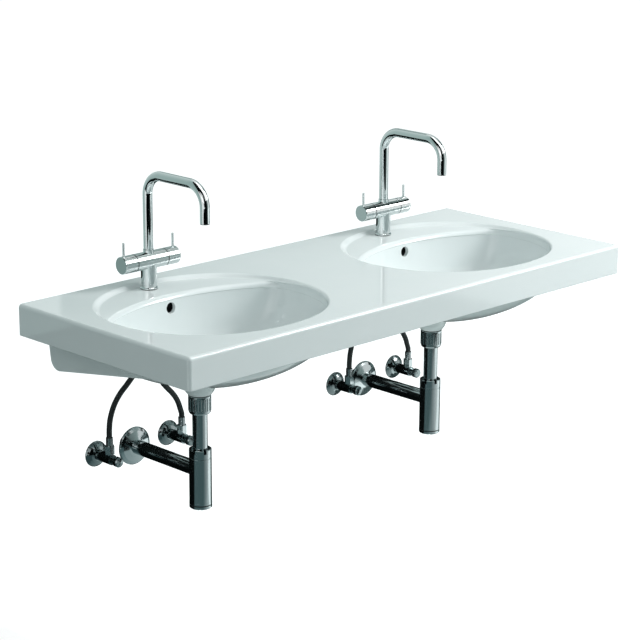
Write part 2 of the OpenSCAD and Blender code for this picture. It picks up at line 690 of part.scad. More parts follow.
module plug(s) {
    z0 = seat_z + seal_t + flange_t + run_gap;
    color("silver") at_drain(s) union() {
        translate([0, 0, z0]) rotate_extrude() polygon([[0, 0], [31, 0], [31.5, 0.6], [31.5, 2], [29, 3.4],
            [20, 4.6], [0, 5.2]]);
        translate([0, 0, -boss_depth + 16]) cylinder(r = 5, h = z0 + boss_depth - 15);
    }
}

module waste_nuts() {
    r = nut_d / 2;
    color("silver") drains() translate([0, 0, nut_top_z - nut_h]) difference() {
        rotate_extrude() polygon([[pipe_d / 2 + 0.2, 0], [r - 3, 0], [r - 1, 3], [r - 1, 6], [r, 6.5], [r, nut_h - 1],
            [r - 1, nut_h], [waste_r, nut_h], [waste_r, nut_h - 20], [waste_r - 0.5, nut_h - 32],
            [pipe_d / 2 + 0.2, nut_h - 32]]);
        for (a = [0 : 15 : 345]) rotate([0, 0, a]) translate([r + 0.9, 0, 8]) cylinder(r = 2, h = nut_h - 12);
    }
}

module tail_seals() {
    color("dimgray") drains() translate([0, 0, nut_top_z - 32]) rotate_extrude()
        polygon([[pipe_d / 2, 0], [waste_r - 0.6, 0], [waste_r - 0.4, 7], [pipe_d / 2, 11]]);
}

// Bottle trap: dip pipe, slotted collar, body, cap, and the outlet pipe to the wall
trap_r = trap_d / 2;
wall_t = 2;
body_top_z = -trap_top - collar_h;
body_low_z = body_top_z - trap_l;
dip_z = body_low_z + 22;

module tail_pipes() {
    color("silver") drains() translate([0, 0, dip_z]) tube(pipe_d / 2, pipe_d / 2 - 1, pipe_top - dip_z);
}

module trap_collars() {
    color("silver") drains() translate([0, 0, body_top_z]) difference() {
        rotate_extrude() polygon([[pipe_d / 2 + 0.2, 2], [trap_r - wall_t, 2], [trap_r - wall_t, 0], [trap_r, 0],
            [trap_r, 3], [trap_r - 0.8, 3.6], [trap_r - 0.8, 5], [trap_r, 5.6], [trap_r, collar_h - 1],
            [trap_r - 1, collar_h], [trap_r - 3.5, collar_h], [trap_r - 3.5, 8], [pipe_d / 2 + 0.2, 8]]);
        for (a = [0 : 60 : 300]) rotate([0, 0, a + 15]) translate([trap_r - 8, -3, collar_h - 8]) cube([12, 6, 9]);
    }
}

module trap_seals() {
    color("dimgray") drains() translate([0, 0, body_top_z]) ring(trap_r - wall_t - 0.1, pipe_d / 2, 2);
}

module trap_bodies() {
    color("silver") drains() difference() {
        translate([0, 0, body_low_z]) cylinder(r = trap_r, h = trap_l);
        translate([0, 0, body_low_z - 1]) cylinder(r = trap_r - wall_t, h = trap_l + 2);
        translate([0, 0, -outlet_drop]) rotate([-90, 0, 0]) cylinder(d = pipe_d, h = trap_d);
    }
}

module trap_caps() {
    color("silver") drains() translate([0, 0, body_low_z - cap_h]) difference() {
        rotate_extrude() polygon([[0, 0], [trap_r - 2, 0], [trap_r + 0.2, 2], [trap_r + 0.2, cap_h - 7],
            [trap_r - 0.8, cap_h - 6.4], [trap_r - 0.8, cap_h - 5.2], [trap_r + 0.2, cap_h - 4.6], [trap_r + 0.2, cap_h],
            [trap_r - wall_t, cap_h], [trap_r - wall_t, cap_h + 4], [trap_r - wall_t - 2, cap_h + 4],
            [trap_r - wall_t - 2, 3], [0, 3]]);
        for (a = [0, 90]) rotate([0, 0, a + 45]) translate([-trap_d, -1.5, -1]) cube([2 * trap_d, 3, 2.5]);
    }
}

module outlet_pipes() {
    y0 = sqrt(pow(trap_r - wall_t, 2) - pow(pipe_d / 2, 2)) - 2;
    color("silver") drains() translate([0, 0, -outlet_drop]) difference() {
        translate([0, y0, 0]) rotate([-90, 0, 0]) tube(pipe_d / 2, pipe_d / 2 - 1, drain_y + outlet_in - y0);
        translate([0, 0, -pipe_d]) cylinder(r = trap_r - wall_t, h = 2 * pipe_d);
        // Turned mark for the depth that the pipe goes into the wall
        translate([0, drain_y + run_out, 0]) rotate([-90, 0, 0]) ring(pipe_d / 2 + 1, pipe_d / 2 - 0.25, run_out_w);
    }
}

module trap_rosettes() {
    r = wall_rose_d / 2;
    q = pipe_d / 2;
    color("silver") for (s = [-1, 1]) translate([s * bowl_x, 0, top - outlet_drop]) rotate([90, 0, 0])
        rotate_extrude() polygon([[q, 0], [r, 0], [r, 2], [r - 2, 4.5], [r - 8, 7.5], [q + 5, 11], [q, 12]]);
}

basin();
tap_gaskets();
tap_body(-1);  // tap_body_left
tap_body(1);  // tap_body_right
cartridges();
knob(-1, -1);  // knob_left_hot
knob(-1, 1);  // knob_left_cold
knob(1, -1);  // knob_right_hot
knob(1, 1);  // knob_right_cold
lever(-1, -1);  // lever_left_hot
lever(-1, 1);  // lever_left_cold
lever(1, -1);  // lever_right_hot
lever(1, 1);  // lever_right_cold
spout(-1);  // spout_left
spout(1);  // spout_right
aerator(-1);  // aerator_left
aerator(1);  // aerator_right
tap_studs();
clamp_pads();
clamp_plates();
clamp_nuts();
hose_tails();
hose_sleeves();
hose(-1, -1);  // hose_left_hot
hose(-1, 1);  // hose_left_cold
hose(1, -1);  // hose_right_hot
hose(1, 1);  // hose_right_cold
hose_nuts();
valve_bodies();
valve_rosettes();
valve_glands();
handle(-1, -1);  // handle_left_hot
handle(-1, 1);  // handle_left_cold
handle(1, -1);  // handle_right_hot
handle(1, 1);  // handle_right_cold
waste_bodies();
flange_seals();
boss_seals();
plug(-1);  // plug_left
plug(1);  // plug_right
waste_nuts();
tail_seals();
tail_pipes();
trap_collars();
trap_seals();
trap_bodies();
trap_caps();
outlet_pipes();
trap_rosettes();
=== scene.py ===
import json
import logging
import math
from dataclasses import dataclass, field
from enum import Enum
from typing import Sequence

import bmesh
import bpy
import numpy as np
from mathutils import Matrix, Vector


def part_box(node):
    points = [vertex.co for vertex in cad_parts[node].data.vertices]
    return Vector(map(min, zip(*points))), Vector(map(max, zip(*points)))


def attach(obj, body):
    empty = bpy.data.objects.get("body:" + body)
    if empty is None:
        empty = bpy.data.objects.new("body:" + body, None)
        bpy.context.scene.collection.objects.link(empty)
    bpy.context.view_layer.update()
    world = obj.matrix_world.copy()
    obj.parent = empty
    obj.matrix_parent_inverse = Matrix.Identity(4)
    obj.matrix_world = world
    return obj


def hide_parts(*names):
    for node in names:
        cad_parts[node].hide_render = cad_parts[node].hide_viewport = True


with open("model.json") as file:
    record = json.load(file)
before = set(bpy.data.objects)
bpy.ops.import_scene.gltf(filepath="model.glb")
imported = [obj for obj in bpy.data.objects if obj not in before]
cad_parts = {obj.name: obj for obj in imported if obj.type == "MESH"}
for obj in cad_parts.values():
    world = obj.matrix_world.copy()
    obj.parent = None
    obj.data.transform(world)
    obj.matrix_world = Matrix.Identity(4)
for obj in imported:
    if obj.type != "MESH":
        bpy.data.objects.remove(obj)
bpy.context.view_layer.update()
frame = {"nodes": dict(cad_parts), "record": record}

LOG = logging.getLogger("washbasin")
MM = 0.001
RIM = 0.110
FLOOR_Z = -0.74
LOW = FLOOR_Z + 0.004
Point = tuple[float, float, float]


class Slot(Enum):
    """Material slots of the record."""

    GLAZE = "glaze"
    TAP = "tap_chrome"
    TRAP = "trap_chrome"
    OUTLET = "aerator_plastic"
    HOSE = "hose_cover"
    SEAL = "seal_rubber"
    BRASS = "brass"
    STEEL = "steel"


def linear(code: str) -> tuple[float, float, float, float]:
    """Turns an sRGB hex colour into the linear values that a shader takes.

    Args:
        code: Colour such as "#E7ECEC".

    Returns:
        Linear red, green and blue, and an alpha of 1.
    """
    parts = [int(code[i:i + 2], 16) / 255 for i in (1, 3, 5)]
    red, green, blue = (c / 12.92 if c <= 0.04045 else ((c + 0.055) / 1.055) ** 2.4 for c in parts)
    return red, green, blue, 1.0


def add_node(tree: bpy.types.NodeTree, kind: str, links: dict | None = None,
             **settings: object) -> bpy.types.Node:
    """Adds one node with its settings, socket values and incoming links.

    Args:
        tree: Node tree that takes the node.
        kind: Node type, such as "ShaderNodeTexNoise".
        links: Input socket name or number to a value, or to an output socket that is linked to it.
        **settings: Properties of the node itself.

    Returns:
        The new node.
    """
    node = tree.nodes.new(kind)
    for key, value in settings.items():
        setattr(node, key, value)
    for key, value in (links or {}).items():
        if isinstance(value, bpy.types.NodeSocket):
            tree.links.new(value, node.inputs[key])
        else:
            node.inputs[key].default_value = value
    return node


def bare_tree(owner: bpy.types.Material | bpy.types.World) -> bpy.types.NodeTree:
    """Gives a material or a world an empty node tree.

    Args:
        owner: The material or the world.

    Returns:
        Its node tree.
    """
    owner.use_nodes = True
    owner.node_tree.nodes.clear()
    return owner.node_tree


@dataclass(frozen=True)
class Finish:
    """A surface finish: what the real material is, with values for its shader."""

    name: str
    colour: str
    roughness: float
    metallic: float = 0.0
    ior: float = 1.5

    def make(self) -> bpy.types.Material:
        """Builds the material, or finds it if it is there already.

        Returns:
            The material.
        """
        found = bpy.data.materials.get(self.name)
        if found:
            return found
        material = bpy.data.materials.new(self.name)
        tree = bare_tree(material)
        shader = add_node(tree, "ShaderNodeBsdfPrincipled", {
            "Base Color": linear(self.colour), "Roughness": self.roughness, "Metallic": self.metallic})
        if not self.metallic:
            shader.inputs["IOR"].default_value = self.ior
        add_node(tree, "ShaderNodeOutputMaterial", {"Surface": shader.outputs[0]})
        self.pattern(tree, shader, add_node(tree, "ShaderNodeTexCoord").outputs["Object"])
        return material

    def pattern(self, tree: bpy.types.NodeTree, shader: bpy.types.Node, place: bpy.types.NodeSocket) -> None:
        """Adds the detail of the surface. A plain finish has none.

        Args:
            tree: The material's node tree.
            shader: Its shader node.
            place: Coordinates on the object, in metres.
        """


@dataclass(frozen=True)
class Grained(Finish):
    """Glaze, clay, rubber or plastic: two mottled tones and a small relief.

    The relief follows the same noise as the tones, or one of its own scale and detail.
    """

    second: str = "#303334"
    scale: float = 180.0
    detail: float = 4.0
    strength: float = 0.2
    distance: float = 0.0004
    relief: tuple[float, float] | None = None

    def pattern(self, tree: bpy.types.NodeTree, shader: bpy.types.Node, place: bpy.types.NodeSocket) -> None:
        """Adds the tones, each patch about 1 / scale metres long, and the relief.

        Args:
            tree: The material's node tree.
            shader: Its shader node.
            place: Coordinates on the object, in metres.
        """
        noise = add_node(tree, "ShaderNodeTexNoise", {"Vector": place, "Scale": self.scale,
                                                      "Detail": self.detail})
        tone = add_node(tree, "ShaderNodeMix", {0: noise.outputs["Fac"], 6: linear(self.colour),
                                                7: linear(self.second)}, data_type="RGBA")
        tree.links.new(tone.outputs[2], shader.inputs["Base Color"])
        if self.relief:
            scale, detail = self.relief
            noise = add_node(tree, "ShaderNodeTexNoise", {"Vector": place, "Scale": scale, "Detail": detail})
        bump = add_node(tree, "ShaderNodeBump", {"Height": noise.outputs["Fac"], "Strength": self.strength,
                                                 "Distance": self.distance})
        tree.links.new(bump.outputs[0], shader.inputs["Normal"])


@dataclass(frozen=True)
class Plated(Finish):
    """Metal plating or bare metal with a faint uneven gloss, as from polishing and water marks."""

    metallic: float = 1.0
    wave: float = 45.0
    spread: float = 0.03
    bump: float = 0.01

    def pattern(self, tree: bpy.types.NodeTree, shader: bpy.types.Node, place: bpy.types.NodeSocket) -> None:
        """Adds patches of slightly duller metal, 1 / wave metres long.

        Args:
            tree: The material's node tree.
            shader: Its shader node.
            place: Coordinates on the object, in metres.
        """
        film = add_node(tree, "ShaderNodeTexNoise", {"Vector": place, "Scale": self.wave, "Detail": 3.0})
        gloss = add_node(tree, "ShaderNodeMapRange", {"Value": film.outputs["Fac"], "To Min": self.roughness,
                         "To Max": self.roughness + self.spread})
        tree.links.new(gloss.outputs[0], shader.inputs["Roughness"])
        bump = add_node(tree, "ShaderNodeBump", {"Height": film.outputs["Fac"], "Strength": self.bump,
                                                 "Distance": MM})
        tree.links.new(bump.outputs[0], shader.inputs["Normal"])


@dataclass(frozen=True)
class Braid(Finish):
    """Black nylon braid over a rubber hose: crossing strands, their crests painted lighter as a highlight."""

    name: str = "black_nylon_braid"
    colour: str = "#07090A"
    roughness: float = 0.5
    crest_highlight: str = "#1F2627"
    strands: int = 8
    pitch: float = 0.012
    strength: float = 0.6
    distance: float = 0.0006

    def pattern(self, tree: bpy.types.NodeTree, shader: bpy.types.Node, place: bpy.types.NodeSocket) -> None:
        """Adds two sets of strands that wind round the hose in opposite directions.

        Args:
            tree: The material's node tree.
            shader: Its shader node.
            place: Not used: the braid follows the hose's own map, metres along and turns round.
        """
        own = add_node(tree, "ShaderNodeUVMap", uv_map="Along")
        split = add_node(tree, "ShaderNodeSeparateXYZ", {0: own.outputs[0]})
        per_metre = math.tau * self.strands / self.pitch
        along = add_node(tree, "ShaderNodeMath", {0: split.outputs[0], 1: per_metre}, operation="MULTIPLY")
        turns = add_node(tree, "ShaderNodeMath", {0: split.outputs[1], 1: math.tau * self.strands},
                         operation="MULTIPLY")
        waves = []
        for way in ("ADD", "SUBTRACT"):
            phase = add_node(tree, "ShaderNodeMath", {0: along.outputs[0], 1: turns.outputs[0]},
                             operation=way)
            wave = add_node(tree, "ShaderNodeMath", {0: phase.outputs[0]}, operation="SINE")
            waves.append(wave.outputs[0])
        weave = add_node(tree, "ShaderNodeMath", {0: waves[0], 1: waves[1]}, operation="MAXIMUM")
        height = add_node(tree, "ShaderNodeMapRange", {"Value": weave.outputs[0], "From Min": -1.0})
        # Painted highlight: the strands turn lighter towards their crests
        tone = add_node(tree, "ShaderNodeMix", {0: height.outputs[0], 6: linear(self.colour),
                                                7: linear(self.crest_highlight)}, data_type="RGBA")
        tree.links.new(tone.outputs[2], shader.inputs["Base Color"])
        bump = add_node(tree, "ShaderNodeBump", {"Height": height.outputs[0], "Strength": self.strength,
                                                 "Distance": self.distance})
        tree.links.new(bump.outputs[0], shader.inputs["Normal"])


# Fired white glaze: deep, wet gloss, thicker and thinner in places, with slow waves about 25 mm long
GLAZE = Grained("white_sanitary_glaze", "#E8EDED", 0.07, ior=1.52, second="#E2E9E9", scale=9.0, detail=2.0,
                strength=0.04, distance=0.002, relief=(40.0, 1.0))
# Clay ground flat where the basin bears on the wall: matt grain of 1.5 mm, coarser than the real 0.3 mm so that
# it shows
CLAY = Grained("bare_fired_clay", "#CFC9BA", 0.85, second="#E5E1D6", scale=650.0, detail=3.0, strength=0.3,
               distance=0.0005)
# Polished plating mirrors sharply, and the plumbing's, thinner and less polished, mirrors softly; its darker
# colour is painted shade for its place under the basin
CHROME = Plated("polished_chrome", "#D6DCDC", 0.03)
TRAP_CHROME = Plated("plumbing_chrome", "#BAC3C4", 0.11, wave=60.0, spread=0.02, bump=0.004)
# Painted shade: the valves and their rosettes, plated like the rest of the plumbing, take a darker copy of its
# chrome
VALVE_SHADED_CHROME = Plated("valve_chrome_painted_shade", "#8B9697", 0.1, wave=60.0, spread=0.02, bump=0.004)
# Turned brass and zinc plating: fine tool marks and a duller, patchy shine
BRASS = Plated("turned_brass", "#B8954F", 0.28, wave=300.0, spread=0.12, bump=0.1)
STEEL = Plated("zinc_plated_steel", "#A4AAAB", 0.16, wave=260.0, spread=0.06, bump=0.05)
# Matt dark mouldings with a dusty bloom in patches of about 6 mm
RUBBER = Grained("moulded_rubber", "#161819", 0.7)
AERATOR = Grained("grey_acetal", "#161819", 0.45)
# Painted shade: the inside of the overflow channel is given this near-black colour because no light reaches it
SHADE = Grained("channel_shade", "#161819", 0.8)
BRAID = Braid()

FINISH_OF: dict[Slot, Finish] = {
    Slot.GLAZE: GLAZE, Slot.TAP: CHROME, Slot.TRAP: TRAP_CHROME, Slot.OUTLET: AERATOR,
    Slot.HOSE: BRAID, Slot.SEAL: RUBBER, Slot.BRASS: BRASS, Slot.STEEL: STEEL}


@dataclass
class PhotoCamera:
    """Camera at the photograph's place, fitted to the corners of the slab."""

    place: Point = (-3.0987, -3.3521, 1.23843)
    yaw: float = 0.7919093
    pitch: float = 0.2750264
    roll: float = -0.0055069
    focal_px: float = 2096.69
    picture_px: float = 640.0
    sensor_mm: float = 36.0
    far: float = 60.0

    def make(self) -> bpy.types.Object:
        """Builds the camera and makes it the scene's.

        Returns:
            The camera object.
        """
        ahead = Vector((math.cos(self.pitch) * math.cos(self.yaw), math.cos(self.pitch) * math.sin(self.yaw),
                        -math.sin(self.pitch)))
        right = Vector((math.sin(self.yaw), -math.cos(self.yaw), 0.0))
        down = ahead.cross(right)
        c, s = math.cos(self.roll), math.sin(self.roll)
        x_axis = c * right + s * down
        y_axis = s * right - c * down
        data = bpy.data.cameras.new("photo_camera")
        data.sensor_width = self.sensor_mm
        data.lens = self.focal_px * self.sensor_mm / self.picture_px
        data.clip_end = self.far
        camera = bpy.data.objects.new("photo_camera", data)
        bpy.context.scene.collection.objects.link(camera)
        turn = Matrix((x_axis, y_axis, -ahead)).transposed().to_4x4()
        camera.matrix_world = Matrix.Translation(self.place) @ turn
        bpy.context.scene.camera = camera
        return camera


def only(obj: bpy.types.Object) -> None:
    """Makes one object the only selected and active one."""
    if bpy.context.object and bpy.context.object.mode != "OBJECT":
        bpy.ops.object.mode_set(mode="OBJECT")
    bpy.ops.object.select_all(action="DESELECT")
    obj.select_set(True)
    bpy.context.view_layer.objects.active = obj


def loft(name: str, rings: Sequence[np.ndarray]) -> bpy.types.Object:
    """Extrudes a filled circle from ring to ring into a closed solid.

    Args:
        name: Name of the new object.
        rings: Rings of points, all with the same number, in order along the solid.

    Returns:
        The new object.
    """
    bpy.ops.object.select_all(action="DESELECT")
    bpy.ops.mesh.primitive_circle_add(vertices=len(rings[0]), radius=1.0, fill_type="NGON")
    obj = bpy.context.object
    obj.name = name
    obj.data.name = name
    bpy.ops.object.mode_set(mode="EDIT")
    bpy.ops.mesh.select_mode(type="FACE")
    bpy.ops.mesh.select_all(action="SELECT")
    mesh = bmesh.from_edit_mesh(obj.data)
    for number, ring in enumerate(rings):
        if number:
            bpy.ops.mesh.extrude_region_move()
            mesh = bmesh.from_edit_mesh(obj.data)
        cap = next(f for f in mesh.faces if f.select)
        for corner, point in zip(cap.verts, ring):
            corner.co = point
        bmesh.update_edit_mesh(obj.data)
    bpy.ops.mesh.select_all(action="SELECT")
    bpy.ops.mesh.normals_make_consistent(inside=False)
    bpy.ops.object.mode_set(mode="OBJECT")
    return obj


def curve_through(points: np.ndarray, steps: int) -> np.ndarray:
    """Runs a smooth curve through points.

    Args:
        points: Points in order, one row each.
        steps: Pieces that each span is cut into.

    Returns:
        The points of the curve, the last given point among them.
    """
    found = []
    last = len(points) - 1
    for i in range(last):
        a, b, c, d = points[max(i - 1, 0)], points[i], points[i + 1], points[min(i + 2, last)]
        for j in range(steps):
            t = j / steps
            found.append(0.5 * (2 * b + (c - a) * t + (2 * a - 5 * b + 4 * c - d) * t * t
                                + (3 * b - a - 3 * c + d) * t ** 3))
    return np.array([*found, points[last]])


def turned(name: str, profile: Sequence[tuple[float, float]], place: Point, axis: Point,
           sides: int = 64) -> bpy.types.Object:
    """Makes a solid of round section from its profile.

    Args:
        name: Name of the new object.
        profile: Radius and height along the axis, in metres, from one end to the other.
        place: Foot of the axis.
        axis: Direction of the axis.
        sides: Points round the axis.

    Returns:
        The new object.
    """
    ahead = Vector(axis).normalized()
    out = ahead.orthogonal().normalized()
    across = ahead.cross(out)
    turns = np.linspace(0, math.tau, sides, endpoint=False)
    round_about = np.outer(np.cos(turns), out) + np.outer(np.sin(turns), across)
    return loft(name, [np.array(place) + radius * round_about + height * np.array(ahead)
                       for radius, height in profile])


def combine(body: bpy.types.Object, tools: Sequence[bpy.types.Object], operation: str) -> None:
    """Adds solids to a body or cuts them out of it, and removes them.

    Args:
        body: Solid that is changed.
        tools: Solids that are added or cut out, one after the other.
        operation: "UNION" or "DIFFERENCE".
    """
    for tool in tools:
        only(body)
        step = body.modifiers.new("step", "BOOLEAN")
        step.solver = "MANIFOLD"
        step.operation = operation
        step.object = tool
        bpy.ops.object.modifier_apply(modifier=step.name)
        bpy.data.objects.remove(tool, do_unlink=True)


def polish(obj: bpy.types.Object, angle: float) -> None:
    """Shades an object smoothly up to an angle, with flat faces kept flat.

    Args:
        obj: The object.
        angle: Largest angle between faces, in degrees, that is smoothed over.
    """
    only(obj)
    bpy.ops.object.shade_smooth_by_angle(angle=math.radians(angle))
    even = obj.modifiers.new("even", "WEIGHTED_NORMAL")
    even.keep_sharp = True
    even.weight = 60
    bpy.ops.object.modifier_apply(modifier=even.name)


def dress(obj: bpy.types.Object, *finishes: Finish) -> None:
    """Gives an object its materials, in the order of its faces' material numbers."""
    obj.data.materials.clear()
    for finish in finishes:
        obj.data.materials.append(finish.make())


@dataclass
class CarriedOver:
    """The solids whose shape is already right: they keep it, and get their finish here."""

    slots: dict[str, Slot] = field(default_factory=dict)

    def make(self) -> None:
        """Gives every CAD node the finish of its slot, and the valves a darker copy of the plumbing chrome as
        painted shade.
        """
        for name, node in frame["nodes"].items():
            slot = self.slots[name]
            on_valve = slot is Slot.TRAP and name.startswith(("valve_", "handle_"))
            finish = VALVE_SHADED_CHROME if on_valve else FINISH_OF[slot]
            dress(node, finish)
            LOG.info("%s: solid with the finish %s", name, finish.name)

    @classmethod
    def from_record(cls) -> "CarriedOver":
        """Reads each node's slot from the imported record.

        Returns:
            The set of nodes with their slots.
        """
        return cls({row["node"]: Slot(row["material_slot"]) for row in frame["record"]["subparts"]})


@dataclass
class SupplyHoses:
    """Four braided hoses between the taps' tails and the angle valves."""

    diameter: float = 0.012
    straight: float = 0.008
    smooth: float = 50.0
    steps: int = 3
    sides: int = 20
    bowl_x: float = 0.356
    valve_out: float = 0.005
    valve_pitch: float = 0.202
    riser_y: float = 0.048
    low: float = -0.209
    high: float = 0.038
    tail_x: float = 0.0085
    tail_y: float = -0.055
    # Share of the sideways way from the valve to the tap, then millimetres from the wall and from the rim
    left_route: tuple = ((0, -48.5, -300), (0.015, -49.5, -281), (0.067, -51, -261), (0.154, -52, -243),
                         (0.297, -53, -225), (0.48, -54, -209), (0.66, -55, -191), (0.81, -56, -169),
                         (0.915, -56, -144), (0.98, -55, -115))
    right_route: tuple = ((0.045, -48.5, -300), (0.12, -50, -284), (0.235, -52, -268), (0.37, -53, -254),
                          (0.52, -54, -241), (0.68, -55, -225), (0.82, -56, -205), (0.925, -56, -180),
                          (0.98, -56, -151), (1.0, -55, -115))

    def points(self, bowl: int, side: int) -> np.ndarray:
        """Lists the points that a hose runs through, from its lower sleeve up.

        Args:
            bowl: -1 for the left bowl, 1 for the right one.
            side: -1 for the left hose of the bowl, 1 for the right one.

        Returns:
            Points in metres.
        """
        x0 = bowl * (self.bowl_x + self.valve_out) + side * self.valve_pitch / 2
        x1 = bowl * self.bowl_x + side * self.tail_x
        route = self.left_route if side < 0 else self.right_route
        inner = [(x0 + (x1 - x0) * share, y * MM, RIM + z * MM) for share, y, z in route]
        return np.array([(x0, -self.riser_y, self.low), (x0, -self.riser_y, self.low + self.straight), *inner,
                         (x1, self.tail_y, self.high - self.straight), (x1, self.tail_y, self.high)])

    def make(self) -> None:
        """Builds and places the four hoses."""
        for bowl, place in ((-1, "left"), (1, "right")):
            for side, water in ((-1, "hot"), (1, "cold")):
                self.make_one(f"hose_{place}_{water}", curve_through(self.points(bowl, side), self.steps))

    def make_one(self, node: str, path: np.ndarray) -> None:
        """Builds one hose as a tube along its path.

        Args:
            node: CAD node that the hose stands for.
            path: Points of its middle line.
        """
        tangents = np.gradient(path, axis=0)
        tangents[0] = tangents[-1] = (0.0, 0.0, 1.0)
        tangents /= np.linalg.norm(tangents, axis=1)[:, None]
        along = np.concatenate([[0.0], np.cumsum(np.linalg.norm(np.diff(path, axis=0), axis=1))])
        turns = np.linspace(0, math.tau, self.sides, endpoint=False)
        rings = []
        for centre, ahead in zip(path, tangents):
            out = np.cross(ahead, (0.0, 1.0, 0.0))
            out /= np.linalg.norm(out)
            round_about = np.outer(np.cos(turns), out) + np.outer(np.sin(turns), np.cross(ahead, out))
            rings.append(centre + self.diameter / 2 * round_about)
        obj = loft(f"braided_{node}", rings)
        self.map_braid(obj, along)
        only(obj)
        bpy.ops.object.shade_smooth_by_angle(angle=math.radians(self.smooth))
        dress(obj, BRAID)
        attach(obj, "fixed")
        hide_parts(node)
        LOG.info("%s: %.0f mm of hose along %d points", obj.name, along[-1] * 1000, len(path))

    def map_braid(self, obj: bpy.types.Object, along: np.ndarray) -> None:
        """Writes the map that the braid follows: metres along the hose and turns round it.

        Args:
            obj: The hose, whose vertices stand ring after ring.
            along: Distance of each ring from the hose's start.
        """
        layer = obj.data.uv_layers.new(name="Along")
        for face in obj.data.polygons:
            spots = [divmod(v, self.sides) for v in face.vertices]
            wraps = len(spots) == 4 and {0, self.sides - 1} <= {s[1] for s in spots}
            for corner, (ring, spot) in zip(face.loop_indices, spots):
                turn = 1.0 if wraps and spot == 0 else spot / self.sides
                layer.data[corner].uv = (along[min(ring, len(along) - 1)], turn)


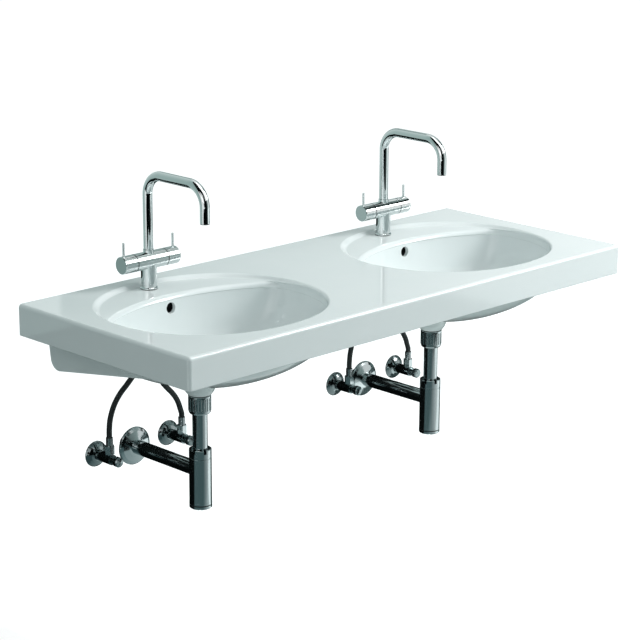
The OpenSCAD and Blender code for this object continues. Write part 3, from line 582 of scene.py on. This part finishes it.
@dataclass(frozen=True)
class BowlForm:
    """Curves of a bowl and of the dome under it, polar about the bowl's middle. Sizes in millimetres."""

    half_width: float = 236.0
    half_depth: float = 222.0
    squareness: float = 2.15
    roll_front: float = 4.0
    roll_side: float = 11.0
    roll_back: float = 8.0
    roll_in: float = 12.0
    foot_full: float = 1.15
    foot_side: float = 0.15
    foot_fade: float = 30.0
    shelf_drop: float = 8.0
    shelf_fall: float = 2.5
    shelf_round: float = 12.0
    shelf_radius: float = 400.0
    shelf_edge: float = 134.0
    shelf_lap: float = 0.4
    shelf_flat: float = 0.8
    shelf_lean: float = 0.25
    # Sines of the angles between which the front's rolled edge turns into the shelf's
    front_sine: float = -0.35
    back_sine: float = 0.4
    drain_in: float = 44.0
    seat: float = 34.0
    depth: float = 152.0
    wall: float = 13.0
    wall_inset: float = 0.6
    blend: float = 24.0
    apron: float = 67.0
    deck: float = 24.0
    dome_half_width: float = 256.0
    dome_half_depth: float = 226.0
    dome_height: float = 101.0
    dome_power: float = 1.6
    rim_lift: float = 3.0
    roll_steps: int = 10
    shelf_steps: int = 8
    row_steps: int = 4
    # Depth as a share of the bowl's, and way in from the edge to the seat of the waste
    wall_rows: tuple = ((0.13, 0.004), (0.17, 0.012), (0.27, 0.03), (0.44, 0.07), (0.59, 0.13), (0.71, 0.22),
                        (0.8, 0.33), (0.875, 0.47), (0.93, 0.63), (0.97, 0.79), (0.993, 0.92), (1.0, 1.0))
    # Share of the dome's radius, and way in of its back wall
    dome_rows: tuple = ((1.0, 0.05), (0.93, 0.12), (0.85, 0.18), (0.75, 0.27), (0.63, 0.4), (0.5, 0.55),
                        (0.36, 0.72), (0.22, 0.88))

    def oval(self, t: np.ndarray, a: float, b: float, n: float) -> np.ndarray:
        """Gives the polar radius of an oval at the angles t."""
        return ((np.abs(np.cos(t)) / a) ** n + (np.abs(np.sin(t)) / b) ** n) ** (-1 / n)

    def arc(self, t: np.ndarray, edge: float) -> np.ndarray:
        """Gives the polar radius of the shelf's curved front, which lies edge behind the bowl's middle."""
        far, s = self.shelf_radius - edge, np.sin(t)
        return -s * far + np.sqrt((s * far) ** 2 - far ** 2 + self.shelf_radius ** 2)

    def blended(self, p: np.ndarray, q: np.ndarray) -> np.ndarray:
        """Gives the smaller of two radii, rounded where they cross."""
        big = np.maximum(p, q)
        return big * ((p / big) ** -self.blend + (q / big) ** -self.blend) ** (-1 / self.blend)

    def mouth(self, t: np.ndarray) -> np.ndarray:
        """Gives the polar radius of the bowl's mouth."""
        return self.oval(t, self.half_width, self.half_depth, self.squareness)

    def edge(self, t: np.ndarray) -> np.ndarray:
        """Gives the polar radius of the hollow's upper edge, which is the shelf's front at the back."""
        return self.blended(self.mouth(t), self.arc(t, self.shelf_edge))

    def ring(self, t: np.ndarray, radius: np.ndarray, shift: float, z: np.ndarray | float) -> np.ndarray:
        """Turns polar radii into points.

        Args:
            t: Angles.
            radius: Polar radius at each.
            shift: How far the ring has moved to the drain, from 0 to 1.
            z: Height of the points above the rim.

        Returns:
            Points in millimetres about the bowl's middle.
        """
        return np.stack([radius * np.cos(t), radius * np.sin(t) + shift * self.drain_in, z + 0 * t], axis=1)

    def hollow(self, sides: int) -> list[np.ndarray]:
        """Lists the rings of the hollow, from above the deck down to the seat of the waste.

        Args:
            sides: Points on each ring.

        Returns:
            Rings of points in millimetres.
        """
        t = np.linspace(0, math.tau, sides, endpoint=False)
        sine = np.sin(t)
        s = np.clip((sine - self.front_sine) / (self.back_sine - self.front_sine), 0, 1)
        back = s * s * (3 - 2 * s)
        width = np.where(sine > 0, self.roll_side + (self.roll_back - self.roll_side) * sine ** 2,
                         self.roll_front + (self.roll_side - self.roll_front) * (1 - sine ** 2) ** 2)
        drop = self.roll_front + (self.shelf_drop - self.roll_front) * back
        ledge = self.mouth(t) - self.edge(t)
        aside = np.cos(t) ** 2
        foot = (self.roll_in * self.foot_full * aside / (aside + self.foot_side)
                * ledge / (ledge + self.foot_fade))
        rings = [self.ring(t, self.mouth(t) + width, 0, self.rim_lift)]
        for step in np.linspace(0, math.pi / 2, self.roll_steps):
            u = math.sin(step)
            fall = (1 - back) * (1 - math.cos(step)) + back * (1 - math.cos(math.pi * u)) / 2
            rings.append(self.ring(t, self.mouth(t) + width * (1 - u) - foot * u, 0, -drop * fall))
        low = -max(self.shelf_drop + self.shelf_fall, self.roll_front)
        rounded = []
        for step in np.linspace(0, math.pi / 2, self.shelf_steps):
            out = self.shelf_round * (1 - math.sin(step))
            down = -self.shelf_lap + self.shelf_round * self.shelf_flat * (1 - math.cos(step))
            radius = self.edge(t) + out * ledge / (ledge + self.shelf_round) - self.shelf_lean * down
            rounded.append(self.ring(t, radius, 0, low - down))
        rolled = rings[-1]
        rings += [rolled * (1 - share) + rounded[0] * share for share in (0.25, 0.5, 0.75)]
        rings += rounded
        for share, way in curve_through(np.array(self.wall_rows), self.row_steps)[1:]:
            radius = (1 - way) * (self.edge(t) - self.wall_inset) + way * self.seat
            rings.append(self.ring(t, radius, way, -self.depth * share))
        return rings

    def dome(self, sides: int) -> list[np.ndarray]:
        """Lists the rings of the solid under the bowl, from the deck down.

        Args:
            sides: Points on each ring.

        Returns:
            Rings of points in millimetres.
        """
        t = np.linspace(0, math.tau, sides, endpoint=False)
        run = self.shelf_edge - self.drain_in - self.seat
        collar = self.blended(self.mouth(t) + self.wall, self.arc(t, self.shelf_edge + self.wall))
        rings = [self.ring(t, collar, 0, z) for z in (-self.shelf_drop - 8, -self.deck - 6)]
        for share, way in curve_through(np.array(self.dome_rows), self.row_steps):
            share = min(share, 1.0)
            radius = self.blended(share * self.oval(t, self.dome_half_width, self.dome_half_depth, 2),
                                  self.arc(t, self.shelf_edge - way * run + self.wall))
            down = self.dome_height * (1 - share ** self.dome_power) ** (1 / self.dome_power)
            rings.append(self.ring(t, radius, 0, -self.apron - down))
        return rings


@dataclass
class Basin:
    """The ceramic piece: slab with two bowls, lower body, and the holes of its fittings, in millimetres."""

    width: float = 1300.0
    depth: float = 525.0
    apron: float = 67.0
    edge_round: float = 8.0
    foot_round: float = 2.0
    deck: float = 24.0
    apron_wall: float = 12.0
    back_wall: float = 16.0
    lower_width: float = 1160.0
    lower_height: float = 155.0
    panel_depth: float = 345.0
    panel_wall: float = 14.0
    panel_rise: float = 0.16
    panel_draft: float = 6.0
    panel_nose: float = 40.0
    corner: float = 22.0
    fix_drop: float = 110.0
    fix_pitch: float = 280.0
    fix_hole: float = 32.0
    bowl_pitch: float = 712.0
    bowl_y: float = 262.0
    shelf_y: float = 128.0
    drain_y: float = 218.0
    drain_hole: float = 46.0
    boss_depth: float = 205.0
    boss: float = 66.0
    over_hole: float = 24.0
    over_drop: float = 38.0
    over_width: float = 60.0
    duct_wall: float = 8.0
    duct_skin: float = 5.0
    tap_y: float = 60.0
    tap_hole: float = 35.0
    tap_flat: float = 39.4
    bowl: BowlForm = field(default_factory=BowlForm)
    bowl_sides: int = 192
    dome_sides: int = 128
    weld: float = 0.02
    smooth: float = 32.0

    def spot(self, points: np.ndarray | Sequence) -> np.ndarray:
        """Turns millimetres from the rim into metres in the frame."""
        return np.array(points, dtype=float) * MM + np.array((0.0, 0.0, RIM))

    def block(self, name: str, low: Point, high: Point) -> bpy.types.Object:
        """Makes a straight block between two corners, as an extruded rectangle."""
        (x0, y0, z0), (x1, y1, z1) = low, high
        foot = ((x0, y0), (x1, y0), (x1, y1), (x0, y1))
        return loft(name, [self.spot([(x, y, z) for x, y in foot]) for z in (z0, z1)])

    def slab(self) -> bpy.types.Object:
        """Makes the slab with rolled top edges at the front and the ends.

        Returns:
            The slab, still solid.
        """
        half = self.width / 2
        body = self.block("ceramic_basin", (-half, -self.depth, -self.apron), (half, 0.0, 0.0))
        only(body)
        for size, segments, wanted in ((self.edge_round, 10, self.on_rolled_edge),
                                       (self.foot_round, 4, self.on_foot_edge)):
            bpy.ops.object.mode_set(mode="EDIT")
            bpy.ops.mesh.select_mode(type="EDGE")
            bpy.ops.mesh.select_all(action="DESELECT")
            mesh = bmesh.from_edit_mesh(body.data)
            for edge in mesh.edges:
                edge.select = wanted([(v.co - Vector((0, 0, RIM))) / MM for v in edge.verts])
            bmesh.update_edit_mesh(body.data)
            bpy.ops.mesh.bevel(offset=size * MM, segments=segments, profile=0.5, affect="EDGES",
                               clamp_overlap=False)
            bpy.ops.object.mode_set(mode="OBJECT")
        return body

    def on_rolled_edge(self, ends: Sequence[Vector]) -> bool:
        """Tells whether an edge is rolled: top edges but the back one, and the upright front corners."""
        if max(v.y for v in ends) > -1 and min(v.y for v in ends) > -1:
            return False
        upright = abs(ends[0].z - ends[1].z) > 1
        return (upright and ends[0].y < -1) or all(v.z > -1 for v in ends)

    def on_foot_edge(self, ends: Sequence[Vector]) -> bool:
        """Tells whether an edge is on the slab's lower outline, the back one left out."""
        return all(v.z < 1 - self.apron for v in ends) and min(v.y for v in ends) < -1

    def panel(self, side: int) -> bpy.types.Object:
        """Makes one side panel of the lower body, which rises towards the front.

        Args:
            side: -1 for the left one, 1 for the right one.

        Returns:
            The panel.
        """
        r = self.corner
        low = self.lower_height - self.panel_rise * self.panel_depth
        bend = [(-r + r * math.cos(a), -self.lower_height + r + r * math.sin(a))
                for a in np.linspace(0, -math.pi / 2 - math.atan(self.panel_rise) * 0.5, 14)]
        outline = [(0, 2 - self.deck), *bend, (-self.panel_depth, -low),
                   (-self.panel_depth - self.panel_nose, 6 - self.apron),
                   (-self.panel_depth - self.panel_nose, 2 - self.deck)]
        lean = math.radians(side * self.panel_draft)
        rings = []
        for x in ((0.0, self.panel_wall) if side < 0 else (-self.panel_wall, 0.0)):
            ring = []
            for y, z in outline:
                height = z + self.apron
                ring.append((side * self.lower_width / 2 + x * math.cos(lean) + height * math.sin(lean), y,
                             -self.apron - x * math.sin(lean) + height * math.cos(lean)))
            rings.append(self.spot(ring))
        return loft("panel", rings)

    def rear(self) -> bpy.types.Object:
        """Makes the wall along the back, which carries the fixing holes.

        Returns:
            The wall.
        """
        r = self.corner
        half = self.lower_width / 2 - 2
        lean = math.tan(math.radians(self.panel_draft)) * (self.lower_height - self.apron)
        corner = [(half - lean - r + r * math.cos(a), -self.lower_height + r + r * math.sin(a))
                  for a in np.linspace(0, -math.pi / 2, 12)]
        right = [(half, 2 - self.deck), (half, -self.apron), *corner]
        outline = right + [(-x, z) for x, z in reversed(right)]
        return loft("rear", [self.spot([(x, y, z) for x, z in outline]) for y in (-self.back_wall, 0.0)])

    def channel(self, x: float, grow: float, width: float) -> bpy.types.Object:
        """Makes the overflow channel down the back of a bowl, or the solid round it.

        Args:
            x: Middle of the bowl.
            grow: How far the back of the channel stands out.
            width: Width of the channel.

        Returns:
            The solid.
        """
        y0 = self.shelf_y - self.bowl.wall
        up = (self.duct_skin - grow) * 2
        outline = ((-y0 + 15 + grow, 4 - self.deck - up), (-y0 + 12 + grow, -self.over_drop - 30),
                   (-y0 + 2 + grow, -115), (-y0 - 24 + grow, -150),
                   (-self.drain_y + 32 + grow, -self.boss_depth + 28 - grow * 2),
                   (-self.drain_y + 10, -self.boss_depth + 26 - grow * 2),
                   (-self.drain_y + 10, -self.bowl.depth - 13), (-self.drain_y + 30, -self.bowl.depth - 9),
                   (-y0 - 36, -140), (-y0 - 18, -108),
                   (-y0 - 9, -self.over_drop - 30), (-y0 - 6, 4 - self.deck - up))
        sides = (x - width / 2, x + width / 2)
        return loft("channel", [self.spot([(side, y, z) for y, z in outline]) for side in sides])

    def round_cut(self, x: float, y: float, z: float, axis: Point,
                  *profile: tuple[float, float]) -> bpy.types.Object:
        """Makes a round tool at a place, from radii and heights in millimetres."""
        return turned("round_cut", [(r * MM, h * MM) for r, h in profile], tuple(self.spot((x, y, z))), axis)

    def make(self) -> None:
        """Builds the basin, dresses it and lets it stand for the CAD solid."""
        body = self.slab()
        dress(body, GLAZE, CLAY, SHADE)
        inside = self.width / 2 - self.apron_wall
        combine(body, [self.block("pocket", (-inside, self.apron_wall - self.depth, -self.apron - 1),
                                  (inside, -self.back_wall, -self.deck))], "DIFFERENCE")
        half = self.panel_wall / 2
        middle = self.block("middle_wall", (-half, self.apron_wall - self.depth - 1, 4 - self.apron),
                            (half, 1 - self.back_wall, 4 - self.deck))
        combine(body, [self.rear(), self.panel(-1), self.panel(1), middle], "UNION")
        for side in (-1, 1):
            self.add_bowl(body, side * self.bowl_pitch / 2)
        for side in (-1, 1):
            self.cut_bowl(body, side * self.bowl_pitch / 2)
        only(body)
        bpy.ops.object.mode_set(mode="EDIT")
        bpy.ops.mesh.select_all(action="SELECT")
        bpy.ops.mesh.remove_doubles(threshold=self.weld * MM)
        bpy.ops.mesh.dissolve_degenerate(threshold=self.weld * MM)
        bpy.ops.object.mode_set(mode="OBJECT")
        polish(body, self.smooth)
        for face in body.data.polygons:
            if face.normal.y > 0.9 and face.center.y > -0.0005:
                face.material_index = 1
        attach(body, "fixed")
        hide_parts("basin")
        LOG.info("%s: %d faces, glazed, with a bare back", body.name, len(body.data.polygons))

    def add_bowl(self, body: bpy.types.Object, x: float) -> None:
        """Adds the solid under one bowl, with its drain boss and the outside of its overflow channel."""
        shape = self.bowl
        r = self.boss / 2
        under = loft("dome", [self.spot(ring + np.array((x, -self.bowl_y, 0)))
                              for ring in shape.dome(self.dome_sides)])
        end = -self.boss_depth
        boss = self.round_cut(x, -self.drain_y, 0, (0, 0, 1), (r + 12, -shape.depth - 8), (r + 5, end + 34),
                              (r, end + 13), (r - 2, end + 8), (self.drain_hole / 2 + 2, end))
        combine(body, [under, boss, self.channel(x, self.duct_skin, self.over_width)], "UNION")

    def cut_bowl(self, body: bpy.types.Object, x: float) -> None:
        """Cuts one bowl's hollow, and the holes of its waste, overflow, tap and wall bolts."""
        shape = self.bowl
        up, back, front = (0, 0, 1), (0, 1, 0), (0, -1, 0)
        drain, over, tap, flat, bolt = (size / 2 for size in (self.drain_hole, self.over_hole, self.tap_hole,
                                                              self.tap_flat, self.fix_hole))
        foot = self.boss_depth - shape.depth + 2
        step = self.deck + 4 - shape.shelf_drop
        hollow = loft("hollow", [self.spot(ring + np.array((x, -self.bowl_y, 0)))
                                 for ring in shape.hollow(self.bowl_sides)])
        duct = self.channel(x, 0, self.over_width - 2 * self.duct_wall)
        dress(duct, GLAZE, CLAY, SHADE)
        # Painted shade: all faces of this tool become the channel's inside and take its near-black colour
        for face in duct.data.polygons:
            face.material_index = 2
        tools = [
            hollow,
            self.round_cut(x, -self.drain_y, -self.boss_depth - 5, up, (drain, 0), (drain, foot),
                           (shape.seat - 1, foot), (shape.seat - 1, foot + 8)),
            self.round_cut(x, -self.shelf_y - 24, -self.over_drop, back, (over, 0), (over, 33 + shape.wall)),
            duct,
            self.round_cut(x, -self.tap_y, -self.deck - 5, up, (tap, 0), (tap, step), (flat, step),
                           (flat, step + shape.shelf_drop)),
            *(self.round_cut(x + side * self.fix_pitch / 2, 1, -self.fix_drop, front, (bolt, 0),
                             (bolt, self.back_wall + 2)) for side in (-1, 1))]
        combine(body, tools, "DIFFERENCE")


@dataclass
class Spouts:
    """The two swivel spouts, bent tubes with an open end. Sizes in millimetres, heights from the tap's seat."""

    diameter: float = 20.5
    tube: float = 1.6
    height: float = 247.0
    reach: float = 180.0
    bend: float = 45.0
    bend_steps: int = 25
    end: float = 170.0
    start: float = 85.25
    gap: float = 0.3
    spigot: float = 14.0
    spigot_radius: float = 7.96
    seat: float = 101.0
    tap_y: float = 60.0
    bowl_x: float = 356.0
    sides: int = 64
    smooth: float = 40.0

    def path(self) -> list[tuple[float, float, float, float]]:
        """Lists the rings of one spout in the plane that it lies in.

        Returns:
            Distance to the front, height, turn of the ring in radians, and radius.
        """
        r, low = self.diameter / 2, self.start + self.gap
        rings = [(0, self.start - self.spigot, 0, self.spigot_radius), (0, low, 0, self.spigot_radius),
                 (0, low, 0, r - 0.4), (0, low + 0.12, 0, r - 0.12), (0, low + 0.4, 0, r)]
        quarter = np.linspace(0, math.pi / 2, self.bend_steps)
        for a in quarter:
            rings.append((self.bend * (1 - math.cos(a)), self.height - self.bend * (1 - math.sin(a)), a, r))
        for a in quarter:
            rings.append((self.reach - self.bend * (1 - math.sin(a)),
                          self.height - self.bend * (1 - math.cos(a)), math.pi / 2 + a, r))
        for up, radius in ((0.4, r), (0.12, r - 0.12), (0, r - 0.4), (0, r - self.tube), (8, r - self.tube)):
            rings.append((self.reach, self.end + up, math.pi, radius))
        return rings

    def make(self) -> None:
        """Builds one spout, copies it to the other tap and lets both stand for the CAD solids."""
        turns = np.linspace(0, math.tau, self.sides, endpoint=False)
        rings = []
        for out, up, turn, radius in self.path():
            flat = radius * np.sin(turns)
            rings.append(np.stack([radius * np.cos(turns), -out - flat * math.cos(turn),
                                   up - flat * math.sin(turn)], axis=1))
        for place, side in (("left", -1), ("right", 1)):
            middle = np.array((side * self.bowl_x, -self.tap_y, self.seat))
            obj = loft(f"swivel_spout_{place}", [(ring + middle) * MM for ring in rings])
            polish(obj, self.smooth)
            dress(obj, CHROME)
            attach(obj, f"spout_{place}_body")
            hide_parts(f"spout_{place}")
            LOG.info("%s: bent tube of %d rings", obj.name, len(rings))


@dataclass
class GrooveShadeRings:
    """Near-black rings laid in the grooves beside the knobs and round the trap caps as painted shade. Sizes in
    metres.
    """

    seam: float = 0.0003
    knob_groove: float = 0.0016
    knob_groove_shade: float = 0.00156
    cap_groove: float = 0.001
    cap_groove_shade: float = 0.001
    cap_height: float = 0.0082
    round_segments: int = 96
    section_segments: int = 12

    def make(self) -> None:
        """Builds a painted-shade ring in each groove."""
        for place in ("left", "right"):
            for water, way in (("hot", -1), ("cold", 1)):
                low, high = (np.array(p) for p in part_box(f"knob_{place}_{water}"))
                middle = (low + high) / 2
                middle[0] = (high if way < 0 else low)[0] - way * self.seam / 2
                self.ring(f"knob_groove_shade_{place}_{water}", middle, (high[2] - low[2]) / 2 - self.knob_groove,
                          self.knob_groove_shade, (0.0, math.pi / 2, 0.0))
        low, high = (np.array(p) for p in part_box("trap_caps"))
        radius = (high[1] - low[1]) / 2
        for place, x in (("left", low[0] + radius), ("right", high[0] - radius)):
            self.ring(f"cap_groove_shade_{place}", np.array((x, (low[1] + high[1]) / 2, low[2] + self.cap_height)),
                      radius - self.cap_groove, self.cap_groove_shade, (0.0, 0.0, 0.0))

    def ring(self, name: str, middle: np.ndarray, floor: float, thick: float, turn: Point) -> None:
        """Lays one ring in its groove.

        Args:
            name: Name of the ring.
            middle: Its middle.
            floor: Radius of the groove's floor, which the ring lies on.
            thick: Thickness of the ring.
            turn: Turn about x, y and z that lays it across its axis.
        """
        bpy.ops.object.select_all(action="DESELECT")
        bpy.ops.mesh.primitive_torus_add(location=tuple(middle), rotation=turn,
                                         major_segments=self.round_segments, major_radius=floor + thick / 2,
                                         minor_segments=self.section_segments, minor_radius=thick / 2)
        obj = bpy.context.object
        obj.name = name
        bpy.ops.object.transform_apply(location=True, rotation=True, scale=True)
        bpy.ops.object.shade_smooth()
        # Painted shade: the dark rubber colour stands in for the shadow in the groove
        dress(obj, RUBBER)
        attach(obj, "fixed")
        LOG.info("%s: ring of %.1f mm across", name, 2000 * (floor + thick))


@dataclass(frozen=True)
class Card:
    """A card that only mirror-like surfaces show, or one that lights the matt ones in place of the floor.

    Its colour turns into the last one, where there is one, from the left end of its first side to the right.
    """

    name: str
    corner: Point
    along: Point
    up: Point
    colour: str
    last: str = ""
    lights: bool = False

    def hang(self) -> None:
        """Builds the card, and hides it from all rays but those it is for."""
        a, b, c = (np.array(p, dtype=float) for p in (self.corner, self.along, self.up))
        bpy.ops.object.select_all(action="DESELECT")
        bpy.ops.mesh.primitive_plane_add(size=1.0)
        card = bpy.context.object
        card.name = self.name
        for vertex, spot in zip(card.data.vertices, (a, a + b, a + c, a + b + c)):
            vertex.co = spot
        material = bpy.data.materials.new(self.name)
        tree = bare_tree(material)
        here = add_node(tree, "ShaderNodeTexCoord").outputs["Object"]
        place = add_node(tree, "ShaderNodeSeparateXYZ", {0: here})
        share = add_node(tree, "ShaderNodeMapRange", {"Value": place.outputs[0], "From Min": float(a[0]),
                         "From Max": float(a[0] + max(b[0], MM))})
        tone = add_node(tree, "ShaderNodeMix", {0: share.outputs[0], 6: linear(self.colour),
                                                7: linear(self.last or self.colour)}, data_type="RGBA")
        own = add_node(tree, "ShaderNodeEmission", {"Color": tone.outputs[2]})
        add_node(tree, "ShaderNodeOutputMaterial", {"Surface": own.outputs[0]})
        card.data.materials.append(material)
        card.visible_camera = card.visible_shadow = card.visible_transmission = False
        card.visible_diffuse, card.visible_glossy = self.lights, not self.lights


@dataclass(frozen=True)
class Lamp:
    """A soft square lamp: its place, the point that it faces, its side in metres and its power in watts."""

    name: str
    place: Point
    aim: Point
    size: float
    power: float
    mirrored: bool = True

    def hang(self) -> None:
        """Builds the lamp. Mirrors and the camera show it only if it is mirrored."""
        data = bpy.data.lights.new(self.name, "AREA")
        data.size = self.size
        data.energy = self.power
        lamp = bpy.data.objects.new(self.name, data)
        bpy.context.scene.collection.objects.link(lamp)
        lamp.location = self.place
        lamp.visible_glossy = lamp.visible_camera = self.mirrored
        lamp.rotation_mode = "QUATERNION"
        lamp.rotation_quaternion = (Vector(self.aim) - Vector(self.place)).to_track_quat("-Z", "Y")


# What polished metal mirrors: dark and grey parts of the floor, walls behind the basin, and screens in front,
# beside and above. The three under cards light the underside in place of the floor.
CARDS = (
    Card("far_floor_card", (-4.7, -9.0, LOW), (7.1, 0, 0), (0, 6.8, 0), "#050808"),
    Card("left_floor_card", (-4.7, -2.2, LOW), (2.1, 0, 0), (0, 0.9, 0), "#050808"),
    Card("near_floor_card", (-2.6, -2.2, LOW), (2.0, 0, 0), (0, 2.32, 0), "#556B6D"),
    Card("side_floor_card", (-0.6, -2.2, LOW), (2.2, 0, 0), (0, 0.95, 0), "#556B6D", "#F4FAFA"),
    Card("rosette_card", (-0.6, -1.25, LOW), (1.1, 0, 0), (0, 1.37, 0), "#6F8789", "#DDE8E8"),
    Card("corner_floor_card", (-2.6, -0.3, LOW + 0.002), (0.6, 0, 0), (0, 0.42, 0), "#050808"),
    Card("camera_screen", (-9.0, -6.5, LOW), (8.0, 0, 0), (0, 0, 5.5), "#050808"),
    Card("rear_floor_card", (-3.2, 0.25, LOW), (3.5, 0, 0), (0, 1.24, 0), "#0A1010"),
    Card("right_floor_card", (0.3, 0.25, LOW), (2.2, 0, 0), (0, 1.24, 0), "#4A5A5A", "#8CA19E"),
    Card("wall_shade_card", (-2.4, 0.12, LOW), (3.6, 0, 0), (0, 0, 0.73), "#070B0B"),
    Card("pillar_card", (-0.52, 0.115, 0.0), (0.22, 0, 0), (0, 0, 0.11), "#0A1010"),
    Card("pillar_card", (0.2, 0.115, 0.0), (0.22, 0, 0), (0, 0, 0.11), "#0A1010"),
    Card("left_knob_card", (-0.76, 0.29, 0.0), (0.09, 0, 0), (0, 0, 0.1), "#8CA19E"),
    Card("right_knob_card", (-0.125, 0.29, 0.0), (0.09, 0, 0), (0, 0, 0.1), "#A9BCBA"),
    Card("grey_wall_card", (-8.0, 1.5, FLOOR_Z), (6.1, 0, 0), (0, 0, 6.0), "#8CA19E", "#A9BFBC"),
    Card("light_wall_card", (-1.9, 1.5, FLOOR_Z), (2.5, 0, 0), (0, 0, 6.0), "#A9BFBC", "#DDEAE8"),
    Card("low_wall_card", (0.6, 1.49, FLOOR_Z), (3.4, 0, 0), (0, 0, 1.05), "#73898A"),
    Card("pale_wall_card", (0.6, 1.5, FLOOR_Z), (3.4, 0, 0), (0, 0, 3.0), "#8CA19E", "#F4FAFA"),
    Card("right_side_card", (3.6, -1.3, FLOOR_Z), (0, 2.8, 0), (0, 0, 3.2), "#6F8483"),
    Card("front_screen", (-1.3, -4.0, LOW), (2.2, 0, 0), (0, 0, 2.4), "#0A1010"),
    Card("right_front_screen", (0.9, -4.0, LOW), (2.2, 0, 0), (0, 0, 2.4), "#7A8887", "#A9B9B7"),
    Card("ceiling_card", (-9.0, -6.5, 4.0), (8.4, 0, 0), (0, 7.9, 0), "#050808"),
    Card("left_tap_card", (0.9, -0.9, 2.0), (0.7, 0, 0), (0, 1.3, 0), "#C4CECC"),
    Card("right_tap_card", (2.1, -1.7, 2.0), (0.8, 0, 0), (0, 1.6, 0), "#0A1010"),
    Card("right_near_card", (0.5, -0.45, LOW), (2.0, 0, 0), (0, 0.7, 0), "#5A6A6A"),
    Card("left_under_card", (-0.9, -0.8, LOW), (0.4, 0, 0), (0, 1.1, 0), "#5C6464", lights=True),
    Card("under_card", (-0.5, -0.8, LOW), (0.65, 0, 0), (0, 1.1, 0), "#E4F4F2", lights=True),
    Card("right_under_card", (0.15, -0.8, LOW), (0.85, 0, 0), (0, 1.1, 0), "#F4FFFD", lights=True),
    Card("right_sail", (2.2, -1.0, 1.9), (0, 4.5, 0), (1.2, 0, 2.6), "#93A5A4"),
)
LAMPS = (
    Lamp("key_lamp", (3.0, -2.6, 2.5), (0.1, -0.25, 0.05), 1.8, 146.0),
    Lamp("top_lamp", (0.6, -0.9, 3.0), (0.0, -0.25, 0.0), 2.4, 20.0),
    Lamp("fill_lamp", (-3.0, -1.8, 1.6), (0.0, -0.25, 0.0), 2.0, 11.0),
    Lamp("right_lamp", (1.0, -1.1, 0.9), (0.6, -0.35, 0.0), 0.5, 1.6, mirrored=False),
)


@dataclass
class Studio:
    """Pale floor, soft lamps, a white background, and the dark cards that polished metal is shot with."""

    floor_size: float = 60.0
    floor_glow: float = 0.88
    ambient: float = 0.45

    def make(self) -> None:
        """Builds the floor, the cards, the lamps and the world."""
        self.make_floor()
        for thing in (*CARDS, *LAMPS):
            thing.hang()
        self.make_world()

    def make_world(self) -> None:
        """Builds the background: white to look at, and dimmer and greener as a light."""
        world = bpy.data.worlds.new("studio_world")
        bpy.context.scene.world = world
        tree = bare_tree(world)
        seen = self.seen(tree)
        strength = add_node(tree, "ShaderNodeMapRange", {"Value": seen, "To Min": self.ambient,
                                                         "To Max": 1.0})
        tone = add_node(tree, "ShaderNodeMix", {0: seen, 6: linear("#E2F2F2"), 7: linear("#FFFFFF")},
                        data_type="RGBA")
        back = add_node(tree, "ShaderNodeBackground", {"Color": tone.outputs[2],
                                                       "Strength": strength.outputs[0]})
        add_node(tree, "ShaderNodeOutputWorld", {"Surface": back.outputs[0]})

    def seen(self, tree: bpy.types.NodeTree) -> bpy.types.NodeSocket:
        """Adds a switch: 1 for what the camera, a mirror or glass shows, and 0 for light on the object.

        Args:
            tree: Node tree that takes the switch.

        Returns:
            The switch's output.
        """
        ray = add_node(tree, "ShaderNodeLightPath")
        switch = ray.outputs["Is Camera Ray"]
        for kind in ("Is Glossy Ray", "Is Transmission Ray"):
            switch = add_node(tree, "ShaderNodeMath", {0: switch, 1: ray.outputs[kind]},
                              operation="MAXIMUM").outputs[0]
        return switch

    def make_floor(self) -> None:
        """Builds the floor: white where it is lit, and darker where the object's shadow falls."""
        bpy.ops.object.select_all(action="DESELECT")
        bpy.ops.mesh.primitive_plane_add(size=self.floor_size, location=(0.0, 0.0, FLOOR_Z))
        floor = bpy.context.object
        floor.name = "studio_floor"
        material = bpy.data.materials.new("studio_white")
        tree = bare_tree(material)
        lit = add_node(tree, "ShaderNodeBsdfDiffuse", {"Color": linear("#A9B2B2")})
        glow = add_node(tree, "ShaderNodeMath", {0: self.seen(tree), 1: self.floor_glow},
                        operation="MULTIPLY")
        own = add_node(tree, "ShaderNodeEmission", {"Color": linear("#FFFFFF"), "Strength": glow.outputs[0]})
        both = add_node(tree, "ShaderNodeAddShader", {0: lit.outputs[0], 1: own.outputs[0]})
        add_node(tree, "ShaderNodeOutputMaterial", {"Surface": both.outputs[0]})
        floor.data.materials.append(material)


def main() -> None:
    """Builds the camera, the hoses, the dressed solids and the studio, in that order."""
    logging.basicConfig(level=logging.INFO, format="%(message)s")
    bpy.context.scene.view_settings.view_transform = "Standard"
    PhotoCamera().make()
    SupplyHoses().make()
    Basin().make()
    Spouts().make()
    CarriedOver.from_record().make()
    GrooveShadeRings().make()
    Studio().make()


if __name__ == "__main__":
    main()
